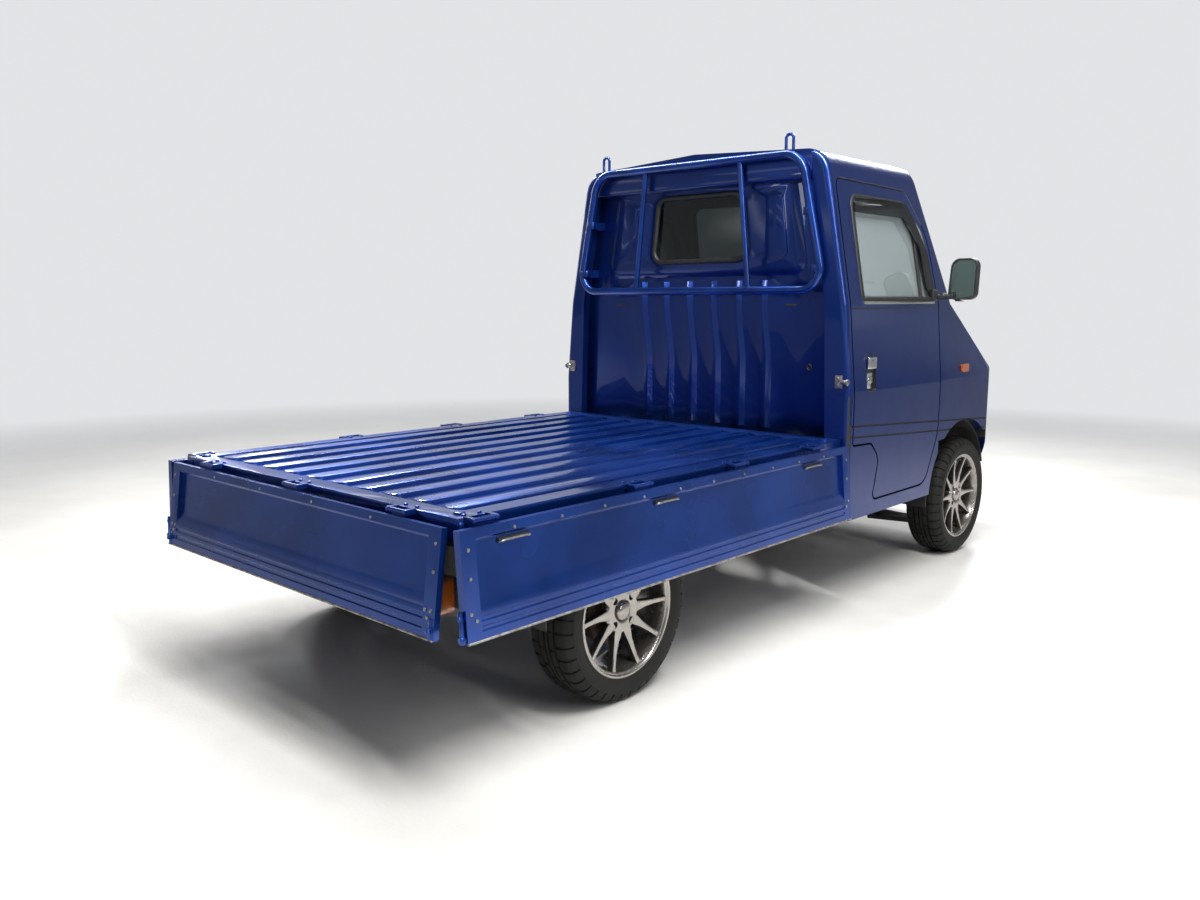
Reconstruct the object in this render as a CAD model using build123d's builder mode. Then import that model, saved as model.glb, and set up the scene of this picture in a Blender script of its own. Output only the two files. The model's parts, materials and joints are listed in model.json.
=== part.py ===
from build123d import *
import os
from math import hypot, sqrt

os.makedirs("parts", exist_ok=True)

# Small drop-side truck. Millimetres. The origin is on the ground under the middle of the
# truck, +Z is up and the nose points along -Y, so the truck's right side is at -X.

# Driving dimensions: wheels and axles
wheelbase = 2350
rear_axle_y = 1018
front_axle_y = rear_axle_y - wheelbase
half_track = 644
tyre_radius = 267
tyre_width = 160
rim_radius = 195
rim_width = 146

# Driving dimensions: cab
nose_y = -1718
cab_back_y = -205
cab_half = 737
crease_z = 811
waist_z = 1150
waist_half = 706
eave_z = 1716
eave_half = 601
roof_z = 1748
sill_low_z = 331
bumper_low_z = 228
skin = 40
shut_gap = 8
roof_seam_half = 585
roof_seam_z = 1640

# Driving dimensions: load bed and drop sides
floor_z = 645
bed_rear_y = 1636
bed_front_y = -202
bed_half = 707
gate_pin_z = 640
gate_pin_out = 32
gate_height = 284
gate_foot = 12
side_gate_thick = 24
tail_gate_thick = 18
side_gate_hang = 175
tail_gate_hang = 172.5


def finish(piece, name):
    """Label a finished piece and write it out."""
    piece.part.label = name
    export_step(piece.part, f"parts/{name}.step")


def outline_of(points, radii):
    """Closed outline of straight runs with rounded corners, one radius for each corner."""
    following = points[1:] + points[:1]
    area = sum(a[0] * b[1] - b[0] * a[1] for a, b in zip(points, following))
    if area < 0:
        points = points[::-1]
        radii = radii[::-1]
    with BuildSketch() as outline:
        with BuildLine():
            FilletPolyline(*points, radius=radii, close=True)
        make_face()
    return outline.sketch


def sharp(points):
    """Closed outline with sharp corners."""
    return outline_of(points, [0] * len(points))


def inset_by(outline, inset):
    """An outline drawn in by a wall's thickness."""
    if not inset:
        return outline
    with BuildSketch() as inner:
        add(outline)
        offset(amount=-inset)
    return inner.sketch


def prism(outline, plane, depth):
    """An outline pushed along its plane's normal."""
    with BuildPart() as block:
        with BuildSketch(plane):
            add(outline)
        extrude(amount=depth)
    return block.part


def side_prism(outline, x_from, x_to):
    """A side view outline (y, z) made into a block between two x places."""
    return prism(outline, Plane.YZ.offset(x_from), x_to - x_from)


def cross_prism(outline, y_from, y_to):
    """A front view outline (x, z) made into a block between two y places."""
    return prism(outline, Plane.XZ.offset(-y_from), y_from - y_to)


def plan_prism(outline, z_from, z_to):
    """A plan view outline (x, y) made into a block between two heights."""
    return prism(outline, Plane.XY.offset(z_from), z_to - z_from)


def finish_pair(piece, base):
    """Write a left-hand piece, and its mirror image as the right-hand one."""
    finish(piece, f"{base}_left")
    with BuildPart() as twin:
        mirror(piece.part, about=Plane.YZ)
    finish(twin, f"{base}_right")


# Cab form: outlines that are shared by the skin and by the space inside it
screen_rake = 0.486
screen_foot_y = -1331
screen_foot_z = 1000
screen_bow = 1980
bonnet_back_y = -1181
bonnet_slope = 0.616
nose_sweep = 106
nose_corner = 130
shoulder_half = 735
shoulder_radius = 110
shoulder_start_y = -1080
back_radius = 26


def cab_section(inset):
    """Cab seen from the front: upright sides, leaning glasshouse, crowned roof."""
    with BuildSketch() as outline:
        with BuildLine():
            FilletPolyline(
                (0, bumper_low_z - 60),
                (cab_half, bumper_low_z - 60),
                (cab_half, crease_z),
                (waist_half, waist_z),
                (eave_half, eave_z),
                (0, roof_z),
                radius=[0, 0, 300, 300, 95, 0],
                close=True,
            )
        make_face()
        mirror(about=Plane.YZ)
        if inset:
            offset(amount=-inset)
    return outline.sketch


def cab_block(inset, long):
    """The cab's section drawn forward from its back, with the outer rear edges rounded."""
    with BuildPart() as block:
        with BuildSketch(Plane.XZ.offset(inset - cab_back_y)):
            add(cab_section(inset))
        extrude(amount=long)
        if not inset:
            rear = block.faces().sort_by(Axis.Y)[-1]
            fillet(rear.edges().filter_by(lambda edge: edge.center().Z > bumper_low_z), radius=back_radius)
    return block.part


def nose_plan(inset):
    """Cab seen from above at bumper height: a bowed front with round corners."""
    half = cab_half + 0.5
    with BuildSketch() as outline:
        with BuildLine():
            front = ThreePointArc(
                (-half, nose_y + nose_sweep), (0, nose_y), (half, nose_y + nose_sweep)
            )
            Polyline(front @ 1, (half, 100), (-half, 100), front @ 0)
        make_face()
        fillet(outline.vertices().group_by(Axis.Y)[0], radius=nose_corner)
        if inset:
            offset(amount=-inset)
    return outline.sketch


def bonnet_height(y):
    """Height of the bonnet line at a place along the truck."""
    return waist_z - bonnet_slope * (bonnet_back_y - y)


def nose_side(inset):
    """Lower cab seen from the side: sill, bumper, grille face and bonnet line."""
    grille_y = nose_y + 52
    outline = outline_of(
        [
            (100, sill_low_z),
            (front_axle_y, sill_low_z),
            (front_axle_y, bumper_low_z),
            (nose_y + 22, bumper_low_z),
            (nose_y, 330),
            (nose_y, 600),
            (nose_y + 26, 690),
            (grille_y, bonnet_height(grille_y)),
            (bonnet_back_y, waist_z),
            (bonnet_back_y, waist_z + 300),
            (100, waist_z + 300),
        ],
        [0, 0, 0, 30, 30, 40, 60, 60, 0, 0, 0],
    )
    return inset_by(outline, inset)


def screen_plan(inset):
    """Glasshouse seen from above at its foot: the windscreen's bow."""
    half = cab_half + 20
    bow = screen_bow - sqrt(screen_bow**2 - half**2)
    with BuildSketch() as outline:
        with BuildLine():
            front = ThreePointArc(
                (-half, screen_foot_y + bow), (0, screen_foot_y), (half, screen_foot_y + bow)
            )
            Polyline(front @ 1, (half, 100), (-half, 100), front @ 0)
        make_face()
        if inset:
            offset(amount=-inset)
    return outline.sketch


def roof_side(inset):
    """Glasshouse seen from the side: level roof that drops towards the windscreen."""
    outline = outline_of(
        [
            (100, 900),
            (100, roof_z + 10),
            (-560, roof_z + 10),
            (-930, 1694),
            (-1060, 1600),
            (-1500, 900),
        ],
        [0, 0, 700, 160, 300, 0],
    )
    return inset_by(outline, inset)


def cab_body(inset):
    """Lower cab with the nose, up to the waist, as one closed form."""
    shoulder_top = waist_z + bonnet_slope * (shoulder_start_y - bonnet_back_y)
    with BuildPart() as form:
        add(cab_block(inset, 1700))
        with BuildSketch(Plane.XY):
            add(nose_plan(inset))
        extrude(amount=waist_z, mode=Mode.INTERSECT)
        with BuildSketch(Plane.YZ):
            add(nose_side(inset))
        extrude(amount=1000, both=True, mode=Mode.INTERSECT)
        for side in (-1, 1):
            with BuildSketch(Plane.XZ.offset(-shoulder_start_y)):
                with BuildLine():
                    middle = shoulder_half - shoulder_radius
                    radius = shoulder_radius - inset
                    low = shoulder_top - shoulder_radius
                    turn = CenterArc((side * middle, low), radius, 0 if side > 0 else 90, 90)
                    top, end = (turn @ 1, turn @ 0) if side > 0 else (turn @ 0, turn @ 1)
                    Polyline(
                        end, (side * 900, low), (side * 900, low + 300), (side * middle, low + 300), top
                    )
                make_face()
            extrude(amount=1000, dir=(0, -1, -bonnet_slope), mode=Mode.SUBTRACT)
    return form.part


def cab_house(inset):
    """Glasshouse and roof as one closed form."""
    with BuildPart() as form:
        add(cab_block(inset, 1400))
        with BuildSketch(Plane.YZ):
            add(roof_side(inset))
        extrude(amount=1000, both=True, mode=Mode.INTERSECT)
        with BuildSketch(Plane.XY.offset(screen_foot_z)):
            add(screen_plan(inset))
        extrude(amount=1200, dir=(0, screen_rake, 1), mode=Mode.INTERSECT)
    return form.part


house_outer = cab_house(0)
house_inner = cab_house(skin)
body_outer = cab_body(0)
body_inner = cab_body(skin)

with BuildPart() as shell:
    add(house_outer)
    add(body_outer)
    add(house_inner, mode=Mode.SUBTRACT)
    add(body_inner, mode=Mode.SUBTRACT)
cab_shell = shell.part

# Shut lines and openings, drawn in the side view (y, z)
door_front_y = -1003
door_rear_y = -247
arch_y = front_axle_y + 46
arch_z = 300
arch_long = 350
arch_high = 332
door_points = [
    (-417, 391),
    (-885, 391),
    (door_front_y + 8, 600),
    (door_front_y, waist_z),
    (-968, 1430),
    (-815, 1600),
    (door_rear_y - 6, 1608),
    (door_rear_y, waist_z),
    (door_rear_y, 622),
    (-392, 617),
    (-462, 550),
]
door_radii = [20, 90, 200, 60, 260, 60, 30, 0, 8, 40, 60]
window_points = [
    (-972, 1160),
    (-925, 1412),
    (-787, 1548),
    (-351, 1548),
    (-344, 1160),
]
window_radii = [20, 200, 60, 40, 20]
door_outline = outline_of(door_points, door_radii)
window_outline = outline_of(window_points, window_radii)
with BuildSketch() as opening:
    add(door_outline)
    offset(amount=shut_gap)
door_opening = opening.sketch
with BuildSketch() as arch:
    with Locations((arch_y, arch_z)):
        Ellipse(arch_long, arch_high)
arch_outline = arch.sketch
back_split_y = -322
front_split = sharp(
    [(-1900, 100), (door_front_y - shut_gap, 100), (door_front_y - shut_gap, waist_z + 15),
     (-790, roof_seam_z), (-790, 1900), (-1900, 1900)]
)
roof_outline = sharp(
    [(-roof_seam_half, roof_seam_z), (-roof_seam_half, 1900), (roof_seam_half, 1900),
     (roof_seam_half, roof_seam_z)]
)
roof_zone = cross_prism(roof_outline, cab_back_y - skin, -1700)

# Windscreen outline in the front view (x, z)
screen_low_z = 1125
screen_top_z = 1621
screen_outline = outline_of(
    [(-655, screen_low_z), (655, screen_low_z), (558, screen_top_z), (-558, screen_top_z)],
    [60, 60, 66, 66],
)
screen_zone = cross_prism(screen_outline, -700, -1700)

# Grooves of the side moulding, shared by the sill quarter, the doors and the fenders
groove_deep = 3
groove_high = 7
groove_rear = (-205, 691)
groove_front = (-1700, 601)
with BuildPart() as grooves:
    for drop in (0, 42):
        low = [(y, z - drop) for y, z in (groove_rear, groove_front)]
        add(side_prism(sharp(low + [(y, z + groove_high) for y, z in low[::-1]]),
                       cab_half - groove_deep, cab_half + 20))
moulding = grooves.part

# Roof panel
with BuildPart() as roof_panel:
    add(cab_shell)
    add(roof_zone, mode=Mode.INTERSECT)
    add(screen_zone, mode=Mode.SUBTRACT)
finish(roof_panel, "roof_panel")

# Cab sides: rear post, rail over the door, sill and the quarter below the door's rear corner
post_foot = (640, 560)
post_waist = (620, 1150)
post_head = (545, 1650)
post_zone = sharp([(post_foot[0], 250), (800, 250), (800, 1900), (post_head[0], 1900), post_head,
                   post_waist, post_foot])
with BuildPart() as cab_side:
    add(cab_shell)
    add(cross_prism(post_zone, 0, -1700), mode=Mode.INTERSECT)
    add(side_prism(door_opening, 0, 900), mode=Mode.SUBTRACT)
    add(side_prism(arch_outline, 0, 900), mode=Mode.SUBTRACT)
    add(side_prism(front_split, 0, 900), mode=Mode.SUBTRACT)
    add(roof_zone, mode=Mode.SUBTRACT)
    add(moulding, mode=Mode.SUBTRACT)
    mirror(about=Plane.YZ)
finish(cab_side, "cab_sides")

# Cab back: a wall between the posts with a raised window panel, a deep ribbed recess and a header
back_wall_y = -245
back_base_y = -262
back_deep_y = -300
wall_low_z = 600
header_low_z = 1612
door_clear = 8
step_top_z = 1130
step_low_z = 930
recess_half = 455
recess_slant = 120
window_panel = [(-515, 1258), (515, 1258), (445, 1665), (-445, 1665)]
rear_window_low = 1322
rear_window_high = 1586
rear_window_half_low = 244
rear_window_half_high = 212
window_corner = 45
emboss_high = 6
rib_pitch_back = 124
rib_back_top = 1240
rib_flat = 20
rib_back_high = 22
rear_window_outline = outline_of(
    [(-rear_window_half_low, rear_window_low), (rear_window_half_low, rear_window_low),
     (rear_window_half_high, rear_window_high), (-rear_window_half_high, rear_window_high)],
    [window_corner] * 4,
)
rib_sunk = 14
rib_slant = 12
with BuildPart() as rib:
    with BuildLine(Plane.YZ) as rib_path:
        Polyline((back_deep_y, floor_z + 3), (back_deep_y, step_low_z), (back_base_y, step_top_z),
                 (back_base_y, rib_back_top))
    with BuildSketch(Plane.XY.offset(floor_z + 3)):
        add(sharp([
            (-rib_flat / 2 - rib_slant, back_deep_y - rib_sunk),
            (rib_flat / 2 + rib_slant, back_deep_y - rib_sunk),
            (rib_flat / 2 + rib_slant, back_deep_y), (rib_flat / 2, back_deep_y + rib_back_high),
            (-rib_flat / 2, back_deep_y + rib_back_high), (-rib_flat / 2 - rib_slant, back_deep_y),
        ]))
    sweep(path=rib_path.wires()[0], transition=Transition.RIGHT)
back_rib = rib.part
with BuildPart() as cab_back_panel:
    with BuildSketch(Plane.XZ.offset(-back_base_y)):
        add(cab_section(skin + door_clear))
        with Locations((0, wall_low_z / 2)):
            Rectangle(1700, wall_low_z, mode=Mode.SUBTRACT)
    extrude(amount=back_base_y - back_split_y)
    with BuildPart(mode=Mode.PRIVATE) as header:
        with BuildSketch(Plane.XZ.offset(-cab_back_y + 1)):
            add(cab_section(0.5))
            with Locations((0, (header_low_z + 1900) / 2)):
                Rectangle(2 * post_head[0], 1900 - header_low_z, mode=Mode.INTERSECT)
        extrude(amount=cab_back_y - 1 - back_base_y)
        fillet(header.edges().filter_by(Axis.X).sort_by(Axis.Y)[-2:], radius=10)
    add(header.part)
    # raised panel round the window, with slanted edges
    with BuildPart(mode=Mode.PRIVATE) as raised:
        with BuildSketch(Plane.XZ.offset(-back_wall_y)):
            add(outline_of(window_panel, [60, 60, 70, 70]))
        extrude(amount=back_wall_y - back_base_y + 10)
        chamfer(raised.faces().sort_by(Axis.Y)[-1].edges(), length=15, length2=30)
        for side in (-1, 1):
            with BuildSketch(Plane.XZ.offset(-back_wall_y)):
                add(outline_of([(side * 324, 1325), (side * 432, 1325), (side * 402, 1566),
                                (side * 332, 1572)], [24, 24, 24, 24]))
            extrude(amount=-emboss_high)
    add(raised.part)
    # deep recess with sides that slant outwards
    with BuildPart(mode=Mode.PRIVATE) as recess:
        add(side_prism(sharp([(back_base_y + 30, step_top_z + 24), (back_base_y, step_top_z),
                              (back_deep_y, step_low_z), (back_deep_y, 560), (back_base_y + 30, 560)]),
                       -640, 640))
        deep = back_base_y - back_deep_y
        wide = recess_half + recess_slant * (deep + 30) / deep
        add(plan_prism(sharp([(-recess_half, back_deep_y), (recess_half, back_deep_y),
                              (wide, back_base_y + 30), (-wide, back_base_y + 30)]), 550, 1200),
            mode=Mode.INTERSECT)
    add(recess.part, mode=Mode.SUBTRACT)
    # hollow behind the window panel, so that it keeps one thickness
    with BuildSketch(Plane.XZ.offset(-(back_wall_y - 14))):
        add(outline_of([(-490, 1275), (490, 1275), (425, 1640), (-425, 1640)], [50, 50, 50, 50]))
    extrude(amount=200, mode=Mode.SUBTRACT)
    with BuildSketch(Plane.XZ.offset(-cab_back_y)):
        add(rear_window_outline)
    extrude(amount=200, mode=Mode.SUBTRACT)
    # pressed ribs that follow the step
    for column in range(6):
        rib_x = rib_pitch_back * (column - 2.5)
        add(back_rib.translate((rib_x, 0, 0)))
    add(roof_zone, mode=Mode.SUBTRACT)
finish(cab_back_panel, "cab_back_panel")

# Windscreen frame: pillars, header and the scuttle below the glass
with BuildPart() as windscreen_frame:
    add(house_outer)
    add(house_inner, mode=Mode.SUBTRACT)
    add(side_prism(front_split, -900, 900), mode=Mode.INTERSECT)
    add(roof_zone, mode=Mode.SUBTRACT)
    add(screen_zone, mode=Mode.SUBTRACT)
    add(body_outer, mode=Mode.SUBTRACT)
    add(side_prism(door_opening, -900, 900), mode=Mode.SUBTRACT)

# Fixed glass: the windscreen, and the rear window in the wall above the bed
glass_inset = 10
glass_thick = 6
with BuildPart() as windscreen:
    for inset, mode in ((glass_inset, Mode.ADD), (glass_inset + glass_thick, Mode.SUBTRACT)):
        with BuildSketch(Plane.XY.offset(screen_foot_z)):
            add(screen_plan(inset))
        extrude(amount=900, dir=(0, screen_rake, 1), mode=mode)
    add(screen_zone, mode=Mode.INTERSECT)
    add(body_outer, mode=Mode.SUBTRACT)
    with BuildSketch(Plane.XZ.offset(-(back_wall_y - 3))):
        add(rear_window_outline)
    extrude(amount=6)
finish(windscreen, "cab_glass")

# Nose: fenders, bonnet lid, grille panel and bumper cut from the lower cab's skin
bonnet_half = 520
bonnet_front_y = nose_y + 100
bonnet_rear_y = -1300
bumper_top_z = 668
grille_half = 620
with BuildPart() as nose_skin:
    add(body_outer)
    add(body_inner, mode=Mode.SUBTRACT)
    add(side_prism(front_split, -900, 900), mode=Mode.INTERSECT)
    add(side_prism(arch_outline, 400, 900), mode=Mode.SUBTRACT)
    add(side_prism(arch_outline, -900, -400), mode=Mode.SUBTRACT)
lid_edge = (-0.62, 0.785)
lid_front_z = bonnet_height(bonnet_front_y)


def lid_outline(gap):
    """Bonnet lid in the side view, with its front edge slanted so that it lifts clear."""
    front = bonnet_front_y - gap / lid_edge[1]
    low = (front - 120 * lid_edge[0], lid_front_z - 120 * lid_edge[1])
    high = (front + 500 * lid_edge[0], lid_front_z + 500 * lid_edge[1])
    rear = bonnet_rear_y + gap / 2
    return sharp([low, (rear, low[1]), (rear, high[1]), high])


bonnet_zone = side_prism(lid_outline(0), -bonnet_half, bonnet_half)
bonnet_gap_zone = side_prism(lid_outline(shut_gap), -bonnet_half - shut_gap, bonnet_half + shut_gap)
bumper_back_y = -1550
grille_top = 950
with BuildPart() as grille_form:
    add(cross_prism(sharp([(-grille_half, bumper_top_z), (grille_half, bumper_top_z),
                           (grille_half, grille_top), (-grille_half, grille_top)]),
                    bonnet_front_y - shut_gap, -1800))
    add(cross_prism(sharp([(-bonnet_half - shut_gap, bumper_top_z), (bonnet_half + shut_gap, bumper_top_z),
                           (bonnet_half + shut_gap, grille_top), (-bonnet_half - shut_gap, grille_top)]),
                    bumper_back_y, -1800))
    add(bonnet_gap_zone, mode=Mode.SUBTRACT)
grille_zone = grille_form.part
bumper_zone = cross_prism(sharp([(-900, 100), (900, 100), (900, bumper_top_z), (-900, bumper_top_z)]),
                          bumper_back_y, -1800)

# Lid hinges: pins in ears on the scuttle, eyes on the lid
pin_radius = 4
pin_fit = 0.05
eye_radius = 7
knuckle_long = 56
ear_thick = 12
lid_pin_y = bonnet_rear_y + 2
lid_pin_z = bonnet_height(lid_pin_y) + 4
lid_hinge_x = [-380, 380]


def lid_hinge_leaf(reach):
    """Hinge eye or ear in the side view, with its leaf lying on the bonnet line."""
    foot_y = lid_pin_y + reach
    foot_z = bonnet_height(foot_y)
    step = eye_radius if reach > 0 else -eye_radius
    with BuildSketch() as leaf:
        with Locations((lid_pin_y, lid_pin_z)):
            Circle(eye_radius)
        add(sharp([(lid_pin_y, lid_pin_z + eye_radius - 1), (foot_y, foot_z + 3), (foot_y, foot_z - 8),
                   (lid_pin_y + step, bonnet_height(lid_pin_y + step) - 8), (lid_pin_y, lid_pin_z)]))
    return leaf.sketch


with BuildPart() as bonnet:
    add(nose_skin.part)
    add(bonnet_zone, mode=Mode.INTERSECT)
    for place in lid_hinge_x:
        for end in (-1, 1):
            ear_x = place + end * (knuckle_long / 2 + 1 + ear_thick / 2)
            with BuildSketch(Plane.YZ.offset(ear_x)):
                with Locations((lid_pin_y, lid_pin_z)):
                    Circle(eye_radius + 4)
            extrude(amount=ear_thick / 2 + 1, both=True, mode=Mode.SUBTRACT)
        add(prism(lid_hinge_leaf(-44), Plane.YZ.offset(place - knuckle_long / 2), knuckle_long))
        with BuildSketch(Plane.YZ.offset(place)):
            with Locations((lid_pin_y, lid_pin_z)):
                Circle(pin_radius + pin_fit)
        extrude(amount=knuckle_long, both=True, mode=Mode.SUBTRACT)
finish(bonnet, "bonnet")

with BuildPart() as front_bumper:
    add(nose_skin.part)
    add(bumper_zone, mode=Mode.INTERSECT)
    add(cross_prism(outline_of([(-420, 300), (420, 300), (380, 420), (-380, 420)], [30] * 4), -1500, -1800),
        mode=Mode.SUBTRACT)
finish(front_bumper, "front_bumper")

headlamp_outline = outline_of([(400, 690), (625, 700), (660, 820), (420, 812)], [20, 25, 30, 20])
with BuildPart() as grille_panel:
    add(nose_skin.part)
    add(grille_zone, mode=Mode.INTERSECT)
    add(cross_prism(headlamp_outline, -1500, -1800), mode=Mode.SUBTRACT)
    mirror(cross_prism(headlamp_outline, -1500, -1800), about=Plane.YZ, mode=Mode.SUBTRACT)
    for slot_z in (735, 785):
        add(cross_prism(outline_of([(-330, slot_z - 14), (330, slot_z - 14), (330, slot_z + 14),
                                    (-330, slot_z + 14)], [13.5] * 4), -1500, -1800), mode=Mode.SUBTRACT)
finish(grille_panel, "grille_panel")

with BuildPart() as headlamps:
    add(cab_body(4))
    add(cab_body(30), mode=Mode.SUBTRACT)
    add(cross_prism(headlamp_outline, -1500, -1800), mode=Mode.INTERSECT)
    mirror(about=Plane.YZ)
finish(headlamps, "headlamps")

fender_zone = cross_prism(sharp([(bonnet_half + shut_gap, 560), (900, 560), (900, 1300),
                                 (bonnet_half + shut_gap, 1300)]), -1000, -1800)
with BuildPart() as fenders:
    add(nose_skin.part)
    add(fender_zone, mode=Mode.INTERSECT)
    add(bumper_zone, mode=Mode.SUBTRACT)
    add(grille_zone, mode=Mode.SUBTRACT)
    add(cross_prism(headlamp_outline, -1500, -1800), mode=Mode.SUBTRACT)
    add(moulding, mode=Mode.SUBTRACT)
    mirror(about=Plane.YZ)
finish(fenders, "fenders")

# Scuttle between the bonnet lid and the windscreen, in one piece with the windscreen frame
with BuildPart() as scuttle:
    add(nose_skin.part)
    add(cross_prism(sharp([(-bonnet_half - shut_gap, 900), (bonnet_half + shut_gap, 900),
                           (bonnet_half + shut_gap, 1300), (-bonnet_half - shut_gap, 1300)]),
                    -1000, bonnet_rear_y + shut_gap / 2), mode=Mode.INTERSECT)
    for place in lid_hinge_x:
        with BuildSketch(Plane.YZ.offset(place)):
            with Locations((lid_pin_y, lid_pin_z)):
                Circle(eye_radius + 4)
        extrude(amount=knuckle_long / 2 + 1, both=True, mode=Mode.SUBTRACT)
        for end in (-1, 1):
            ear_x = place + end * (knuckle_long / 2 + 1 + ear_thick / 2)
            add(prism(lid_hinge_leaf(30), Plane.YZ.offset(ear_x - ear_thick / 2), ear_thick))
        with BuildSketch(Plane.YZ.offset(place)):
            with Locations((lid_pin_y, lid_pin_z)):
                Circle(pin_radius)
        extrude(amount=knuckle_long / 2 + 2, both=True)
    add(windscreen_frame.part)
finish(scuttle, "windscreen_frame")

# Doors
pocket_y = -380
pocket_z = 890
pocket_long = 74
pocket_high = 148
pocket_deep = 14
with BuildPart() as door:
    add(cab_shell)
    add(side_prism(door_outline, 450, 900), mode=Mode.INTERSECT)
    add(side_prism(window_outline, 0, 900), mode=Mode.SUBTRACT)
    with BuildSketch(Plane.YZ.offset(cab_half - pocket_deep)):
        with Locations((pocket_y, pocket_z)):
            RectangleRounded(pocket_long, pocket_high, 14)
    extrude(amount=60, mode=Mode.SUBTRACT)
    with BuildSketch(Plane.YZ.offset(cab_half - pocket_deep - 1)):
        with Locations((pocket_y, pocket_z + 34)):
            RectangleRounded(pocket_long - 10, 44, 10)
    extrude(amount=pocket_deep - 1)
    add(moulding, mode=Mode.SUBTRACT)
finish_pair(door, "door")

with BuildPart() as door_glass:
    add(cab_house(16))
    add(cab_house(21), mode=Mode.SUBTRACT)
    add(side_prism(window_outline, 400, 900), mode=Mode.INTERSECT)
    add(side_prism(door_outline, 400, 900), mode=Mode.INTERSECT)
finish_pair(door_glass, "door_glass")

# Door mirrors: a rounded housing behind the pillar on an arm from the door's front corner
mirror_y = -988
mirror_inner = 752
mirror_outer = 877
mirror_low_z = 1164
mirror_high_z = 1335
with BuildPart() as door_mirror:
    with BuildSketch(Plane.XZ.offset(-mirror_y)):
        add(outline_of([(mirror_inner, mirror_low_z), (mirror_outer - 6, mirror_low_z),
                        (mirror_outer, mirror_high_z), (mirror_inner + 12, mirror_high_z)],
                       [30, 30, 35, 40]))
    extrude(amount=40)
    fillet(door_mirror.faces().sort_by(Axis.Y)[0].edges(), radius=14)
    with BuildSketch(Plane.YZ.offset(700)):
        with Locations((mirror_y - 2, 1176)):
            RectangleRounded(34, 20, 6)
    extrude(amount=80)
    add(cab_shell, mode=Mode.SUBTRACT)
    add(cab_house(skin), mode=Mode.SUBTRACT)
finish_pair(door_mirror, "mirror")

# Load bed: ribbed floor pan with a flat border, skirts and hinge ears
pan_thick = 12
rib_high = 12
rib_pitch = 130
rib_wide = 62
rib_count = 10
border = 62
skirt_low_z = 588
side_hinge_y = [19, 499, 987, 1576]
tail_hinge_x = [-505, 0, 505]
side_pin_x = bed_half + gate_pin_out
tail_pin_y = bed_rear_y + 27
bed_long = bed_rear_y - bed_front_y
bed_middle_y = (bed_rear_y + bed_front_y) / 2
with BuildPart() as bed_floor:
    with BuildSketch(Plane.XY.offset(floor_z - rib_high - pan_thick)):
        with Locations((0, bed_middle_y)):
            Rectangle(2 * bed_half, bed_long)
    extrude(amount=pan_thick)
    with BuildSketch(Plane.XY.offset(skirt_low_z)):
        with Locations((0, bed_middle_y)):
            Rectangle(2 * bed_half, bed_long)
            Rectangle(2 * bed_half - 12, bed_long - 12, mode=Mode.SUBTRACT)
    extrude(amount=floor_z - skirt_low_z)
    with BuildSketch(Plane.XY.offset(floor_z - rib_high)):
        with Locations((0, bed_middle_y)):
            Rectangle(2 * bed_half, bed_long)
            RectangleRounded(2 * (bed_half - border), bed_long - 2 * border, 25, mode=Mode.SUBTRACT)
        with GridLocations(rib_pitch, 0, rib_count, 1):
            with Locations((0, bed_middle_y)):
                SlotOverall(bed_long - 2 * border - 16, rib_wide, rotation=90)
    extrude(amount=rib_high)
    for place in side_hinge_y:
        for side in (-1, 1):
            for end in (-1, 1):
                ear_y = place + end * (knuckle_long / 2 + 1 + ear_thick / 2)
                with BuildSketch(Plane.XZ.offset(-ear_y)):
                    with Locations((side * (side_pin_x + bed_half - 4) / 2, gate_pin_z)):
                        Rectangle(gate_pin_out + 4, 2 * eye_radius)
                    with Locations((side * side_pin_x, gate_pin_z)):
                        Circle(eye_radius)
                extrude(amount=ear_thick / 2, both=True)
            with BuildSketch(Plane.XZ.offset(-place)):
                with Locations((side * side_pin_x, gate_pin_z)):
                    Circle(pin_radius)
            extrude(amount=knuckle_long / 2 + 2, both=True)
    for place in tail_hinge_x:
        for end in (-1, 1):
            ear_x = place + end * (knuckle_long / 2 + 1 + ear_thick / 2)
            with BuildSketch(Plane.YZ.offset(ear_x)):
                with Locations(((tail_pin_y + bed_rear_y - 4) / 2, gate_pin_z)):
                    Rectangle(tail_pin_y - bed_rear_y + 4, 2 * eye_radius)
                with Locations((tail_pin_y, gate_pin_z)):
                    Circle(eye_radius)
            extrude(amount=ear_thick / 2, both=True)
        with BuildSketch(Plane.YZ.offset(place)):
            with Locations((tail_pin_y, gate_pin_z)):
                Circle(pin_radius)
        extrude(amount=knuckle_long / 2 + 2, both=True)
finish(bed_floor, "bed_floor")

# Drop sides, drawn closed and then let down about their hinge pins
recess_deep = 13
gate_top = gate_height
side_gate_front_y = -160
side_gate_rear_y = 1676
tail_half = 707
end_rail = 46


def gate_section(thick):
    """Closed gate seen from its end: u goes outward from the pin line and w upward."""
    deep = thick - recess_deep
    return sharp([
        (0, gate_foot), (0, gate_top), (-thick, gate_top), (-thick, 262), (-thick + 3, 259),
        (-thick + 3, 251), (-thick, 248), (-thick, 238), (-thick + 3, 235), (-thick + 3, 227),
        (-thick, 224), (-thick, 206), (-deep, 172), (-deep, 44), (-thick, 36), (-thick, gate_foot),
    ])


def strap_section():
    """Hinge leaf and knuckle in the same view."""
    with BuildSketch() as strap:
        Circle(eye_radius)
        with Locations((eye_radius - 1.5, 20)):
            Rectangle(3, 40)
        with Locations((eye_radius / 2, 40)):
            Rectangle(eye_radius, 44)
        Circle(pin_radius + pin_fit, mode=Mode.SUBTRACT)
    return strap.sketch


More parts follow.
